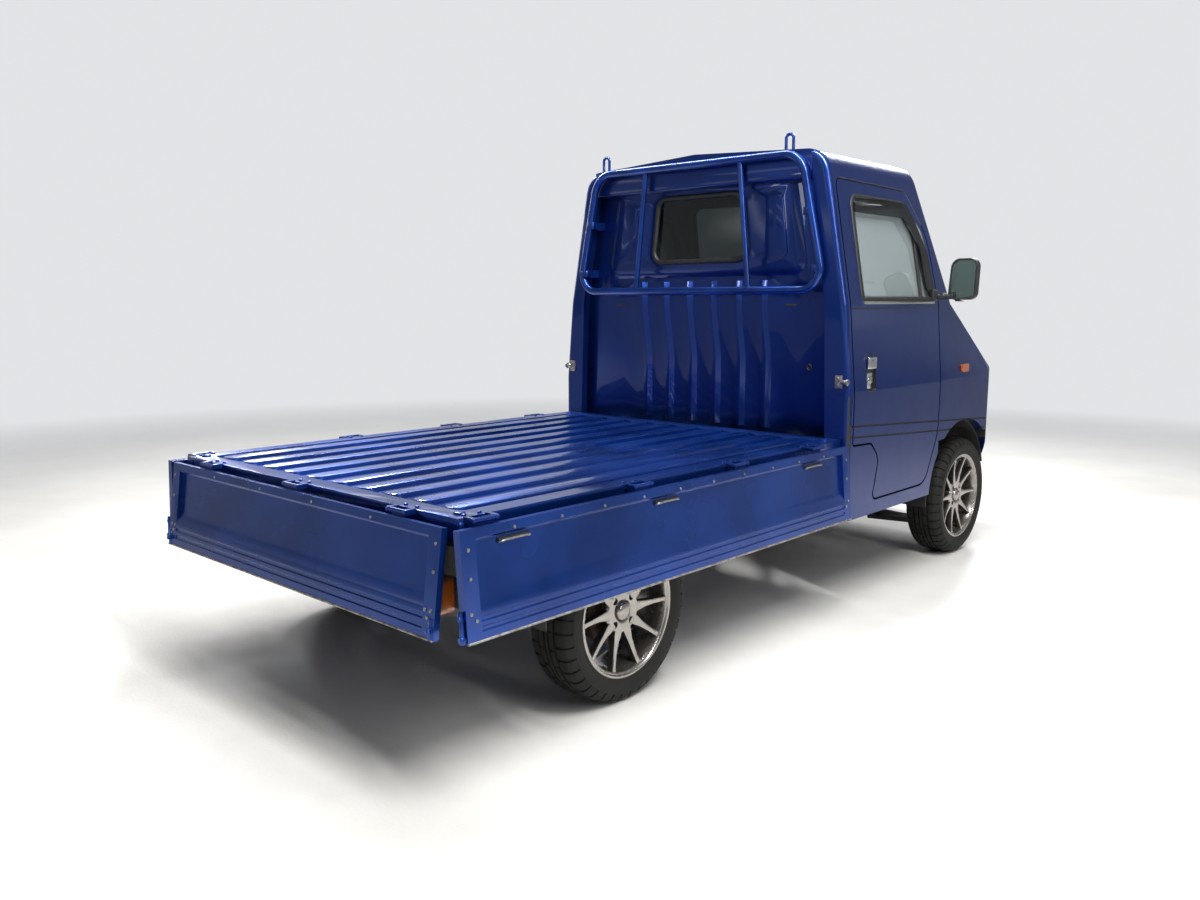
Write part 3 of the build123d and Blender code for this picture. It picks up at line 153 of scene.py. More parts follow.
backdrop_colour = (0.76, 0.77, 0.79)
concrete, shader = finish_of("floor_concrete", (0.7, 0.69, 0.66), 0.6)
shade_by(shader, (0.8, 8, 0.65), 0.3, 0.72, (0.6, 0.59, 0.56), (0.76, 0.75, 0.72))
dull_by(shader, (2.2, 6), 0.3, 0.7, 0.42, 0.75)
bump_of(shader, (90, 4), 0.0008)
tree = shader.id_data
fade_start, fade_end = 3.2, 8.0  # metres from the truck's middle
link = tree.links.new
reach = node_of(tree, "VectorMath")
reach.operation = "LENGTH"
link(node_of(tree, "TexCoord").outputs["Object"], reach.inputs[0])
glow = node_of(tree, "Emission", {"Color": (*backdrop_colour, 1)})
sight = node_of(tree, "LightPath")
link(level_of(tree, sight.outputs["Is Glossy Ray"], 0, 1, 1.0, 0.42), glow.inputs["Strength"])
fade = node_of(tree, "MixShader")
link(level_of(tree, reach.outputs["Value"], fade_start, fade_end, 0.0, 1.0), fade.inputs["Fac"])
link(shader.outputs["BSDF"], fade.inputs[1])
link(glow.outputs["Emission"], fade.inputs[2])
link(fade.outputs["Shader"], tree.nodes["Material Output"].inputs["Surface"])
bpy.ops.object.select_all(action="DESELECT")
bpy.ops.mesh.primitive_plane_add(size=120, location=(0, 0, 0))
floor = bpy.context.object
floor.name = "studio_floor"
floor.data.materials.append(concrete)

world = bpy.data.worlds.new("studio_world")
bpy.context.scene.world = world
world.use_nodes = True
tree = world.node_tree
link = tree.links.new
around = tree.nodes["Background"]
set_sockets(around, {"Strength": 0.07, "Color": (0.86, 0.9, 1.0, 1)})
seen = node_of(tree, "Background")
heading = node_of(tree, "TexCoord")
upward = node_of(tree, "SeparateXYZ")
link(heading.outputs["Generated"], upward.inputs["Vector"])
link(ramp_of(tree, upward.outputs["Z"], 0.34, 0.75, backdrop_colour, (0.3, 0.31, 0.33)), seen.inputs["Color"])
rays = node_of(tree, "LightPath")
direct = node_of(tree, "Math")
direct.operation = "MAXIMUM"
link(rays.outputs["Is Camera Ray"], direct.inputs[0])
link(rays.outputs["Is Transmission Ray"], direct.inputs[1])
mirrored = node_of(tree, "Background", {"Strength": 2.0})
hall = ramp_of(tree, upward.outputs["Z"], 0.05, 0.5, (0.19, 0.2, 0.215), (0.04, 0.04, 0.046))
rows = node_of(tree, "ValToRGB")
for place, light in ((0.055, 0.2), (0.075, 1.0), (0.095, 0.17), (0.18, 0.13), (0.205, 1.0), (0.235, 0.12),
                     (0.33, 0.08), (0.365, 1.0), (0.4, 0.07), (0.56, 0.04), (0.61, 1.0), (0.66, 0.04)):
    rows.color_ramp.elements.new(place).color = (light, light, light, 1)
link(upward.outputs["Z"], rows.inputs["Fac"])
spread = node_of(tree, "TexNoise", {"Scale": 2.6, "Detail": 0})
link(heading.outputs["Generated"], spread.inputs["Vector"])
gaps = level_of(tree, spread.outputs["Fac"], 0.46, 0.52, 0.0, 1.0)
link(mix_of(tree, gaps, hall, rows.outputs["Color"]), mirrored.inputs["Color"])
in_gloss = node_of(tree, "MixShader")
link(rays.outputs["Is Glossy Ray"], in_gloss.inputs["Fac"])
link(around.outputs["Background"], in_gloss.inputs[1])
link(mirrored.outputs["Background"], in_gloss.inputs[2])
blend = node_of(tree, "MixShader")
link(direct.outputs["Value"], blend.inputs["Fac"])
link(in_gloss.outputs["Shader"], blend.inputs[1])
link(seen.outputs["Background"], blend.inputs[2])
link(blend.outputs["Shader"], tree.nodes["World Output"].inputs["Surface"])

tubes = [  # x, y, z, length, width, power
    (-1.7, 0.9, 4.2, 3.6, 0.22, 300),
    (1.8, -0.3, 4.0, 3.6, 0.22, 190),
    (-5.2, 1.5, 3.6, 3.4, 0.3, 90),
    (0.8, 6.4, 3.8, 3.4, 0.25, 24),
    (0.3, -4.6, 3.8, 3.0, 0.35, 190),
    (4.6, -0.6, 3.2, 3.0, 0.25, 50),
]
for count, (x, y, z, length, width, power) in enumerate(tubes):
    lamp = bpy.data.lights.new(f"tube_{count}", "AREA")
    lamp.shape = "RECTANGLE"
    lamp.size = width
    lamp.size_y = length
    lamp.energy = power
    tube = bpy.data.objects.new(f"tube_{count}", lamp)
    bpy.context.collection.objects.link(tube)
    tube.location = (x, y, z)
    tube.rotation_euler = (Vector((0, 0.2, 0.5)) - tube.location).to_track_quat("-Z", "Y").to_euler()

lens = bpy.data.cameras.new("view")
lens.sensor_width = 36
lens.lens = 29.42
camera = bpy.data.objects.new("view", lens)
bpy.context.collection.objects.link(camera)
camera.location = (-2.5076, 3.0918, 1.1601)
yaw, pitch = 0.7429, -0.1511
forward = Vector((sin(yaw) * cos(pitch), -cos(yaw) * cos(pitch), sin(pitch)))
camera.rotation_euler = forward.to_track_quat("-Z", "Y").to_euler()
bpy.context.scene.camera = camera

# Cab shell: pressed steel panels under a deep metallic blue and clear lacquer, near black where
# they turn away and cobalt where the light falls on them. Their cut edges are folded over, and the
# inner faces are lined with a pale trim in the cab and made near black in the nose.
lacquer, shader = finish_of("cab_lacquer", (0.006, 0.018, 0.12), 0.33, 0.8, 0.45, 0.03)
shade_by(shader, (1400, 2), 0.3, 0.75, (0.0022, 0.013, 0.095), (0.005, 0.042, 0.26))
dull_by(shader, (7, 5), 0.3, 0.7, 0.29, 0.38)
bump_of(shader, (5.5, 2), 0.0011)
trim_cloth, shader = finish_of("trim_lining", (0.34, 0.34, 0.33), 0.85)
shade_by(shader, (14, 5), 0.3, 0.7, (0.29, 0.29, 0.285), (0.38, 0.38, 0.37))
bump_of(shader, (700, 2), 0.0005)
# A near black: painted shade in the grooves, slots, holes and behind the grille's and bumper's openings, and the dark
# of the gauge faces and of the nose panels' inner faces.
black_and_shade, shader = finish_of("black_and_painted_shade", (0.012, 0.012, 0.014), 0.7)
shade_by(shader, (20, 5), 0.3, 0.7, (0.009, 0.009, 0.01), (0.02, 0.019, 0.018))
bump_of(shader, (240, 3), 0.0003)


def hang(piece, finish, body):
    """Give a finished piece its material and its body."""
    piece.data.materials.clear()
    piece.data.materials.append(finish)
    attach(piece, body)
    return piece


def roll_edges(piece, roll, angle=32, segments=2):
    """Roll the sharp edges over."""
    edge = piece.modifiers.new("rolled_edge", "BEVEL")
    edge.width = roll
    edge.segments = segments
    edge.limit_method = "ANGLE"
    edge.angle_limit = radians(angle)
    bpy.ops.object.modifier_apply(modifier=edge.name)


def alone(piece):
    """Select this object only, and make it the active one."""
    bpy.ops.object.select_all(action="DESELECT")
    bpy.context.view_layer.objects.active = piece
    piece.select_set(True)


def placed(label, form):
    """A new object for a mesh or a curve, the only one selected."""
    piece = bpy.data.objects.new(label, form)
    bpy.context.collection.objects.link(piece)
    alone(piece)
    return piece


def open_up():
    """Go into the active piece, all of it selected."""
    bpy.ops.object.mode_set(mode="EDIT")
    bpy.ops.mesh.select_all(action="SELECT")


def close_up():
    bpy.ops.object.mode_set(mode="OBJECT")


def smooth_over(angle):
    """Shade smoothly over every edge that is less sharp than the angle."""
    bpy.ops.object.shade_smooth_by_angle(angle=radians(angle))


merged = 0.00002  # points closer than this are one


def copy_of(name, label):
    """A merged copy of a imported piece, with its flat faces whole again."""
    piece = placed(label, frame["nodes"][name].data.copy())
    open_up()
    bpy.ops.mesh.remove_doubles(threshold=merged)
    bpy.ops.mesh.dissolve_limited(angle_limit=radians(0.8))
    close_up()
    return piece


def skin_of(name, finish, roll, smooth=30, flat=True):
    """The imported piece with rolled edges, standing for it, its wide faces kept flat or let to swell."""
    piece = copy_of(name, f"{name}_skin")
    roll_edges(piece, roll)
    smooth_over(smooth)
    if flat:
        level = piece.modifiers.new("level_faces", "WEIGHTED_NORMAL")
        level.keep_sharp = True
        bpy.ops.object.modifier_apply(modifier=level.name)
    hang(piece, finish, carrier[name])
    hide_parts(name)
    return piece


def line_inside(piece, heart, lining, across):
    """Give the faces that look towards the cab's heart their trim, but not a door's shut faces."""
    piece.data.materials.append(lining)
    for face in piece.data.polygons:
        outward = face.center - heart
        shut_face = face.normal.z > 0.5 or (abs(face.normal.y) > 0.6 and not across)
        if face.normal.dot(outward.normalized()) < -0.5 and face.center.y < -0.27 and not shut_face:
            face.material_index = 1


def paint_groove_shade(piece):
    """Paint shade on the floors of the two grooves that run along the side below the handle."""
    piece.data.materials.append(black_and_shade)
    for face in piece.data.polygons:
        middle = face.center
        if 0.728 < abs(middle.x) < 0.7364 and 0.54 < middle.z < 0.72 and abs(face.normal.x) > 0.6:
            face.material_index = 2


cab_heart = Vector((0, -0.72, 1.15))
cab_panels = ["roof_panel", "cab_sides", "windscreen_frame", "cab_back_panel", "door_left", "door_right"]
nose_panels = ["bonnet", "front_bumper", "grille_panel", "fenders"]
for name in cab_panels:
    pressed = name == "cab_back_panel"
    piece = skin_of(name, lacquer, 0.0045 if pressed else 0.0022, flat=not pressed)
    line_inside(piece, cab_heart, trim_cloth, pressed or name == "windscreen_frame")
    paint_groove_shade(piece)
for name in nose_panels:
    piece = skin_of(name, lacquer, 0.0022)
    line_inside(piece, Vector((0, -1.1, 0.75)), black_and_shade, True)
    paint_groove_shade(piece)

# Load bed: a ribbed steel floor and three drop sides in a brighter coat of the same blue, scuffed
# by years of loads, hung on pins along the floor's edge, with bare metal showing on their free edges.
def bed_paint(name, stretch):
    """Bed paint whose scratches run along one axis."""
    coat, shader = finish_of(name, (0.008, 0.03, 0.2), 0.3, 0.78, 0.45, 0.06)
    tree = shader.id_data
    scuff = noise_of(tree, 1.0, 5, 0.55, stretch)
    patch = noise_of(tree, 3.0, 3, 0.5)
    base = ramp_of(tree, patch, 0.3, 0.72, (0.004, 0.032, 0.19), (0.008, 0.06, 0.34))
    worn = level_of(tree, scuff, 0.72, 0.9, 0.0, 0.25)
    tree.links.new(mix_of(tree, worn, base, (0.06, 0.08, 0.16)), shader.inputs["Base Color"])
    dull_by(shader, patch, 0.3, 0.7, 0.24, 0.33)
    bump_of(shader, (4.5, 1), 0.0026)
    return coat


bed_lacquer = bed_paint("bed_lacquer", (34, 1.6, 34))
tail_lacquer = bed_paint("tail_lacquer", (1.6, 34, 34))
bare_edge, shader = finish_of("bare_edge", (0.36, 0.35, 0.34), 0.42, 0.75)
rust = noise_of(shader.id_data, 60, 6, 0.65)
shade_by(shader, rust, 0.42, 0.68, (0.42, 0.41, 0.4), (0.1, 0.075, 0.06))
bump_of(shader, rust, 0.0005)
bolt_steel, shader = finish_of("bolt_steel", (0.34, 0.34, 0.35), 0.36, 0.9)
shade_by(shader, (130, 4), 0.35, 0.7, (0.38, 0.38, 0.39), (0.16, 0.15, 0.14))

skin_of("bed_floor", bed_lacquer, 0.0036, flat=False)
for name, coat in (("side_gate_left", bed_lacquer), ("side_gate_right", bed_lacquer), ("tailgate", tail_lacquer)):
    skin_of(name, coat, 0.0018)
hang_angle = {"side": radians(175), "tail": radians(172.5)}
side_pin_x, gate_pin_z, tail_pin_y = 0.739, 0.64, 1.663
side_face, tail_face = -0.0235, -0.0175  # the gates' outer faces, from their pins, when they are shut
gate_lip = 0.2835  # height of the gates' free edge over their pins
border_z, bolt_z = 0.644, 0.6495  # top of the floor's border, and of the bolt heads on it


def hung(kind, out, up):
    """Where a point of the closed gate's end view, measured from its pin, comes to hang."""
    turn = hang_angle[kind]
    return cos(turn) * out + sin(turn) * up, gate_pin_z - sin(turn) * out + cos(turn) * up


def side_place(side, out, up, y):
    across, z = hung("side", out, up)
    return Vector((side * (side_pin_x + across), y, z))


def tail_place(x, out, up):
    back, z = hung("tail", out, up)
    return Vector((x, tail_pin_y + back, z))


def start(label):
    """A new piece, open in edit mode for its primitives."""
    piece = placed(label, bpy.data.meshes.new(label))
    bpy.ops.object.mode_set(mode="EDIT")
    return piece


def draw_out(*way):
    """Extrude what is selected."""
    bpy.ops.mesh.extrude_region_move(TRANSFORM_OT_translate={"value": way})


def face_outwards():
    bpy.ops.mesh.normals_make_consistent(inside=False)


def block(low, high):
    """A block between two corners."""
    low, high = Vector(low), Vector(high)
    bpy.ops.mesh.primitive_cube_add(size=1, location=(low + high) / 2, scale=high - low)


def rod(first, last, radius, sides=16):
    """A round bar from one place to another."""
    first, last = Vector(first), Vector(last)
    way = last - first
    bpy.ops.mesh.primitive_cylinder_add(vertices=sides, radius=radius, depth=way.length,
                                        location=(first + last) / 2,
                                        rotation=way.to_track_quat("Z", "Y").to_euler())


def done(finish, body, roll=0.0, segments=2):
    """Close the piece that is open, roll its edges over and hang it on its body."""
    close_up()
    piece = bpy.context.object
    if roll:
        roll_edges(piece, roll, 40, segments)
    smooth_over(35)
    return hang(piece, finish, body)


def bar_along(label, points, radius, finish, body, closed=False, smooth=True):
    """A bent bar through the given points, made from a curve."""
    path = bpy.data.curves.new(label, "CURVE")
    path.dimensions = "3D"
    path.bevel_depth = radius
    path.bevel_resolution = 3
    path.use_fill_caps = True
    line = path.splines.new("POLY" if not smooth else "NURBS")
    line.points.add(len(points) - 1)
    for point, place in zip(line.points, points):
        point.co = (*place, 1)
    if smooth:
        line.order_u = 3
        line.use_endpoint_u = not closed
    line.use_cyclic_u = closed
    placed(label, path)
    bpy.ops.object.convert(target="MESH")
    bent = bpy.context.object
    smooth_over(40)
    return hang(bent, finish, body)


side_bodies = [(1, "left"), (-1, "right")]
rivet_proud = 0.0027
corner_rivets = ((-0.142, 0.214), (-0.126, 0.232), (1.66, 0.214), (1.644, 0.232), (1.655, 0.06), (1.655, 0.13),
                 (-0.137, 0.06), (-0.137, 0.13))  # place along the gate, height over the pin
rope_slots = (1.5, 0.9, 0.08)
hook_bend = [(-0.013, 0.06, -0.05), (-0.0225, 0.058, -0.049), (side_face, 0.056, -0.038)]
for side, word in side_bodies:
    body = f"{word}_gate"
    at = partial(side_place, side)
    start(f"gate_edge_{word}")
    rod(at(side_face, gate_lip, -0.159), at(side_face, gate_lip, 1.675), 0.0032, 12)
    done(bare_edge, body)
    start(f"gate_rivets_{word}")
    for y in [0.02 + 0.165 * count for count in range(10)]:
        rod(at(side_face, 0.029, y), at(side_face - rivet_proud, 0.029, y), 0.0042, 10)
    for y, up in corner_rivets:
        rod(at(side_face, up, y), at(side_face - rivet_proud, up, y), 0.005, 10)
    done(bolt_steel, body, 0.0008)
    # the rope slots are dark rods of painted shade set into the gate
    start(f"rope_slots_{word}")
    for y in rope_slots:
        rod(at(-0.011, 0.056, y - 0.052), at(-0.011, 0.056, y + 0.052), 0.0065, 14)
    done(black_and_shade, body)
    for count, y in enumerate(rope_slots):
        wire = [at(out, up, y + along) for out, up, along in hook_bend]
        wire += [at(out, up, y - along) for out, up, along in reversed(hook_bend)]
        bar_along(f"rope_hook_{word}_{count}", wire, 0.0027, bolt_steel, body)
    start(f"gate_latches_{word}")
    for near, far in ((1.676, 1.69), (-0.172, -0.16)):
        for up, radius in ((0.22, 0.006), (0.272, 0.01)):
            rod(at(-0.012, up, near), at(-0.012, up, far), radius, 14)
        middle = (near + far) / 2
        rod(at(-0.012, 0.205, middle), at(-0.012, 0.283, middle), 0.0062, 12)
    done(bed_lacquer, body, 0.001)

start("tail_edge")
rod(tail_place(-0.705, -0.0178, gate_lip), tail_place(0.705, -0.0178, gate_lip), 0.0032, 12)
done(bare_edge, "tail_gate")
start("tail_rivets")
for side in (-1, 1):
    for up, inward in ((0.052, 0), (0.12, 0), (0.214, 0), (0.214, 0.022), (0.232, 0.011), (0.243, 0)):
        x = side * (0.69 - inward)
        rod(tail_place(x, tail_face, up), tail_place(x, tail_face - rivet_proud, up), 0.0048, 10)
for x in (-0.42, -0.14, 0.14, 0.42):
    rod(tail_place(x, tail_face, 0.028), tail_place(x, tail_face - 0.0023, 0.028), 0.004, 10)
done(bolt_steel, "tail_gate", 0.0008)
start("tail_latches")
for x in (-0.694, 0.694):
    rod(tail_place(x, -0.01, 0.232), tail_place(x, -0.01, 0.286), 0.012, 16)
    rod(tail_place(x, -0.014, 0.262), tail_place(x, -0.029, 0.262), 0.0075, 14)
done(tail_lacquer, "tail_gate", 0.0012)

# hinge bolts on the floor's border and the round feet at its corners
start("hinge_bolts")
for y in (0.019, 0.499, 0.987, 1.576):
    for step in (-0.024, 0.024):
        for side in (-1, 1):
            rod((side * 0.69, y + step, border_z), (side * 0.69, y + step, bolt_z), 0.0065, 6)
for x in (-0.505, 0, 0.505):
    for step in (-0.024, 0.024):
        rod((x + step, 1.619, border_z), (x + step, 1.619, bolt_z), 0.0065, 6)
done(bed_lacquer, "truck", 0.001)
start("corner_stops")
for side in (-1, 1):
    rod((side * 0.662, 1.592, 0.643), (side * 0.662, 1.592, 0.65), 0.016, 20)
    rod((side * 0.668, -0.15, 0.643), (side * 0.668, -0.15, 0.649), 0.013, 20)
    block((side * 0.7075, 1.6, 0.592), (side * 0.7125, 1.632, 0.634))
done(bed_lacquer, "truck", 0.0022)

# Guard frame behind the cab: bent round tube welded up in one piece, with rope hooks on its top
# rail, clamped to the cab's back by small brackets.
guard_lacquer, shader = finish_of("guard_lacquer", (0.007, 0.024, 0.16), 0.3, 0.78, 0.5, 0.04)
shade_by(shader, (9, 5), 0.3, 0.72, (0.003, 0.024, 0.16), (0.007, 0.055, 0.31))
skin_of("guard_frame", guard_lacquer, 0.0012)
start("guard_clamps")
for side in (-1, 1):
    for x, z in ((0.551, 1.49), (0.589, 1.28)):
        rod((side * x, -0.185, z - 0.014), (side * x, -0.185, z + 0.014), 0.0195, 20)
        block((side * (x + 0.012), -0.236, z - 0.014), (side * (x + 0.03), -0.206, z + 0.014))
        rod((side * (x + 0.032), -0.212, z), (side * (x - 0.004), -0.212, z), 0.0055, 6)
done(lacquer, "truck", 0.0012)
start("gate_keepers")
for side in (-1, 1):
    block((side * 0.676, -0.206, 0.836), (side * 0.706, -0.2, 0.884))
    rod((side * 0.7, -0.203, 0.86), (side * 0.724, -0.203, 0.86), 0.0085, 14)
    rod((side * 0.724, -0.203, 0.86), (side * 0.729, -0.203, 0.86), 0.013, 14)
    for z in (0.848, 0.872):
        rod((side * 0.69, -0.204, z), (side * 0.69, -0.194, z), 0.0055, 6)
done(bolt_steel, "truck", 0.001)

# Wheels: ten-spoke cast rims in a warm silver lacquer, with dished spokes whose sides carry a painted
# shade, four recessed nuts, a domed cap and the cast brake behind, on steel-belted road tyres.
wheel_silver, shader = finish_of("wheel_silver", (0.44, 0.4, 0.37), 0.27, 0.9, 0.5, 0.08)
shade_by(shader, (14, 4), 0.35, 0.72, (0.36, 0.335, 0.31), (0.29, 0.27, 0.25))
dull_by(shader, (30, 4), 0.35, 0.7, 0.21, 0.3)
# dark steel for the nuts, and the painted shade on the spokes' sides
wheel_dark_steel_and_shade, shader = finish_of("wheel_dark_steel_and_shade", (0.05, 0.047, 0.045), 0.42, 0.7)
shade_by(shader, (60, 5), 0.3, 0.7, (0.028, 0.027, 0.026), (0.075, 0.07, 0.066))
brake_iron, shader = finish_of("brake_iron", (0.05, 0.045, 0.04), 0.6, 0.6)
shade_by(shader, (80, 6, 0.65), 0.4, 0.68, (0.045, 0.042, 0.04), (0.13, 0.075, 0.045))
bump_of(shader, (320, 4), 0.0006)
tyre_rubber, shader = finish_of("tyre_rubber", (0.016, 0.016, 0.015), 0.72)
shader.inputs["Specular IOR Level"].default_value = 0.28
dust = noise_of(shader.id_data, 16, 7, 0.65)
shade_by(shader, dust, 0.38, 0.75, (0.0065, 0.0065, 0.006), (0.021, 0.02, 0.017))
dull_by(shader, dust, 0.3, 0.7, 0.58, 0.85)
bump_of(shader, (420, 4), 0.0004)

half_track, rear_axle_y, front_axle_y, tyre_radius = 0.644, 1.018, -1.332, 0.267
lug_circle, lug_count, spoke_count, tyre_steps = 0.05, 4, 10, 240


def turn_ring(rings, steps):
    """A turned form about X: a closed section of (radius, place along the axle) rings."""
    radius, along = rings[0]
    bpy.ops.mesh.select_mode(type="VERT")
    bpy.ops.mesh.primitive_circle_add(vertices=steps, radius=radius, location=(along, 0, 0),
                                      rotation=(0, radians(90), 0))
    for (radius, along), (next_radius, next_along) in zip(rings, rings[1:] + rings[:1]):
        draw_out(next_along - along, 0, 0)
        swell = next_radius / radius
        bpy.ops.transform.resize(value=(1, swell, swell), center_override=(next_along, 0, 0))
    bpy.ops.mesh.select_linked()
    bpy.ops.mesh.remove_doubles(threshold=merged)
    face_outwards()


def turned(label, rings, steps):
    """A turned piece by itself."""
    piece = start(label)
    turn_ring(rings, steps)
    close_up()
    return piece


def lug_rods(first, last, radius, sides):
    """One rod along the axle at each of the nuts' places."""
    for count in range(lug_count):
        angle = radians(45 + 360 / lug_count * count)
        y, z = lug_circle * cos(angle), lug_circle * sin(angle)
        rod((first, y, z), (last, y, z), radius, sides)


rim_rings = [
    (0.195, 0.068), (0.194, 0.0722), (0.1905, 0.0728), (0.1868, 0.0712), (0.1848, 0.0672), (0.1836, 0.0664),
    (0.1812, 0.0672), (0.1785, 0.066), (0.1752, 0.058), (0.1722, 0.04), (0.17, 0), (0.1705, -0.055),
    (0.178, -0.069), (0.188, -0.0728), (0.1945, -0.0722), (0.195, -0.066), (0.18, -0.06),
    (0.1765, 0), (0.179, 0.052), (0.186, 0.06),
]
rim = turned("rim_master", rim_rings, 96)
hub = turned("hub_master", [(0.026, 0.02), (0.064, 0.02), (0.069, 0.03), (0.068, 0.045), (0.063, 0.0505),
                            (0.04, 0.0515), (0.033, 0.049), (0.03, 0.042), (0.026, 0.04)], 64)
drill = start("lug_drill")
lug_rods(0.036, 0.07, 0.0108, 20)
close_up()
alone(hub)
cut = hub.modifiers.new("lug_holes", "BOOLEAN")
cut.operation = "DIFFERENCE"
cut.solver = "EXACT"
cut.object = drill
bpy.ops.object.modifier_apply(modifier=cut.name)
bpy.data.objects.remove(drill)
cap = turned("cap_master", [(0.0006, 0.0625), (0.012, 0.0618), (0.0215, 0.059), (0.0268, 0.0545), (0.0285, 0.048),
                            (0.0285, 0.04), (0.0006, 0.04)], 48)

spokes = start("spokes_master")
# station from the axle, half width, front face, back face
spoke_stations = [(0.05, 0.0168, 0.05, 0.024), (0.074, 0.014, 0.0505, 0.024), (0.1, 0.0094, 0.052, 0.027),
                  (0.13, 0.0076, 0.0555, 0.033), (0.16, 0.0068, 0.061, 0.04), (0.1775, 0.0074, 0.0655, 0.046)]
for count in range(spoke_count):
    out, wide, front, back = spoke_stations[0]
    bpy.ops.mesh.primitive_plane_add(size=1, location=((front + back) / 2, 0, out))
    bpy.ops.transform.resize(value=(front - back, 2 * wide, 1), center_override=((front + back) / 2, 0, out))
    for (out, wide, front, back), (far, thin, face, rear) in zip(spoke_stations, spoke_stations[1:]):
        draw_out((face + rear) / 2 - (front + back) / 2, 0, far - out)
        bpy.ops.transform.resize(value=((face - rear) / (front - back), thin / wide, 1),
                                 center_override=((face + rear) / 2, 0, far))
    bpy.ops.mesh.select_linked()
    bpy.ops.transform.rotate(value=radians(360 / spoke_count * count + 18), orient_axis="X",
                             center_override=(0, 0, 0))
bpy.ops.mesh.select_all(action="SELECT")
face_outwards()
close_up()
alone(spokes)
roll_edges(spokes, 0.0016, 40)
# the spokes' fronts take the silver, and their sides take the painted shade
for face in spokes.data.polygons:
    face.material_index = 0 if face.normal.x > 0.5 else 1

brake = turned("brake_master", [(0.03, 0.017), (0.078, 0.017), (0.08, 0.012), (0.106, 0.011),
                                (0.1095, 0.006), (0.1095, -0.012), (0.106, -0.0158), (0.03, -0.0158)], 64)
nuts = start("nuts_master")
lug_rods(0.0205, 0.0415, 0.0078, 6)
close_up()
roll_edges(nuts, 0.0008, 40)
valve = start("valve_master")
rod((0.05, 0, 0.164), (0.0635, 0, 0.1665), 0.0038, 12)
close_up()

tread_half = [
    (0.186, 0.066), (0.1945, 0.0735), (0.1985, 0.0752), (0.202, 0.075), (0.206, 0.0772), (0.2085, 0.077),
    (0.2105, 0.0785), (0.23, 0.0798), (0.2345, 0.0792), (0.236, 0.08), (0.2378, 0.0786), (0.248, 0.0752),
    (0.257, 0.069), (0.2618, 0.0625), (0.265, 0.053), (0.2662, 0.042), (0.2664, 0.0345), (0.2585, 0.033),
    (0.2585, 0.0285), (0.2668, 0.027), (0.267, 0.0115), (0.259, 0.01), (0.259, 0.0055), (0.267, 0.004),
]
tread_rings = tread_half + [(radius, -along) for radius, along in reversed(tread_half)] + [(0.184, 0.0)]
tyre = turned("tyre_master", tread_rings, tyre_steps)


def cut_blocks(low, high, every, depth):
    """Cross grooves in one band of the tread, every so many steps round."""
    alone(tyre)
    bpy.ops.object.mode_set(mode="EDIT")
    bpy.ops.mesh.select_all(action="DESELECT")
    bpy.ops.mesh.select_mode(type="FACE")
    bpy.ops.object.mode_set(mode="OBJECT")
    shoulder_radius, step_angle = 0.242, 2 * pi / tyre_steps
    for face in tyre.data.polygons:
        spot = Vector((face.center.y, face.center.z))
        step = round((spot.angle_signed(Vector((1, 0))) + pi) / step_angle - 0.5)
        face.select = low < abs(face.center.x) < high and spot.length > shoulder_radius and step % every == 0
    bpy.ops.object.mode_set(mode="EDIT")
    bpy.ops.mesh.extrude_region_move()
    bpy.ops.transform.shrink_fatten(value=-depth)
    close_up()


cut_blocks(0.038, 0.0775, 6, 0.0045)
cut_blocks(0.0126, 0.0262, 8, 0.004)

wheel_parts = [  # master, label, angle to smooth over, replaced node, slot, finishes
    (rim, "rim", 40, "wheel", "alloy", [wheel_silver]),
    (hub, "hub", 35, None, "alloy", [wheel_silver]),
    (cap, "cap", 40, None, "alloy", [wheel_silver]),
    (spokes, "spokes", 35, None, "alloy", [wheel_silver, wheel_dark_steel_and_shade]),
    (brake, "brake", 35, None, "cast_metal", [brake_iron]),
    (nuts, "nuts", 30, None, "bare_steel", [wheel_dark_steel_and_shade]),
    (valve, "valve", 40, None, "bare_steel", [bolt_steel]),
    (tyre, "tread", 34, "tyre", "tyre", [tyre_rubber]),
]
for place, axle_y in (("front", front_axle_y), ("rear", rear_axle_y)):
    for side, word in side_bodies:
        for master, label, smooth, stands_for, slot, coats in wheel_parts:
            piece = placed(f"{label}_{place}_{word}", master.data.copy())
            open_up()
            if side < 0:
                bpy.ops.transform.rotate(value=pi, orient_axis="Z", center_override=(0, 0, 0))
            bpy.ops.transform.translate(value=(side * half_track, axle_y, tyre_radius))
            close_up()
            smooth_over(smooth)
            kept = [min(face.material_index, len(coats) - 1) for face in piece.data.polygons]
            hang(piece, coats[0], f"{place}_{word}_wheel")
            for coat in coats[1:]:
                piece.data.materials.append(coat)
            piece.data.polygons.foreach_set("material_index", kept)
            if stands_for:
                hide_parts(f"{stands_for}_{place}_{word}")
for master, *_ in wheel_parts:
    bpy.data.objects.remove(master)

# Glazing: thin green-tinted panes in black rubber, darker at the back, with a smoked rain visor along
# the top of each door window and down its front pillar, a slim quarter bar and a bright belt strip.
def glass_of(name, tint, roughness=0.0, clear=1.0):
    """Glass of one tint, a little cloudy with dust, that lets daylight through by the share given."""
    glass, shader = finish_of(name, tint, roughness)
    see_through = clear == 1
    set_sockets(shader, {"Transmission Weight": 1.0 if see_through else 0.0,
                         "Alpha": 1.0 if see_through else 1 - clear, "Specular IOR Level": 1.0, "IOR": 1.45})
    film = noise_of(shader.id_data, 3.0, 6, 0.6)
    darker = tuple(0.9 * part for part in tint)
    shade_by(shader, film, 0.35, 0.7, tint, darker)
    dull_by(shader, film, 0.4, 0.75, roughness, roughness + 0.05)
    bump_of(shader, (1.6, 2), 0.0003, 0.4)
    return glass


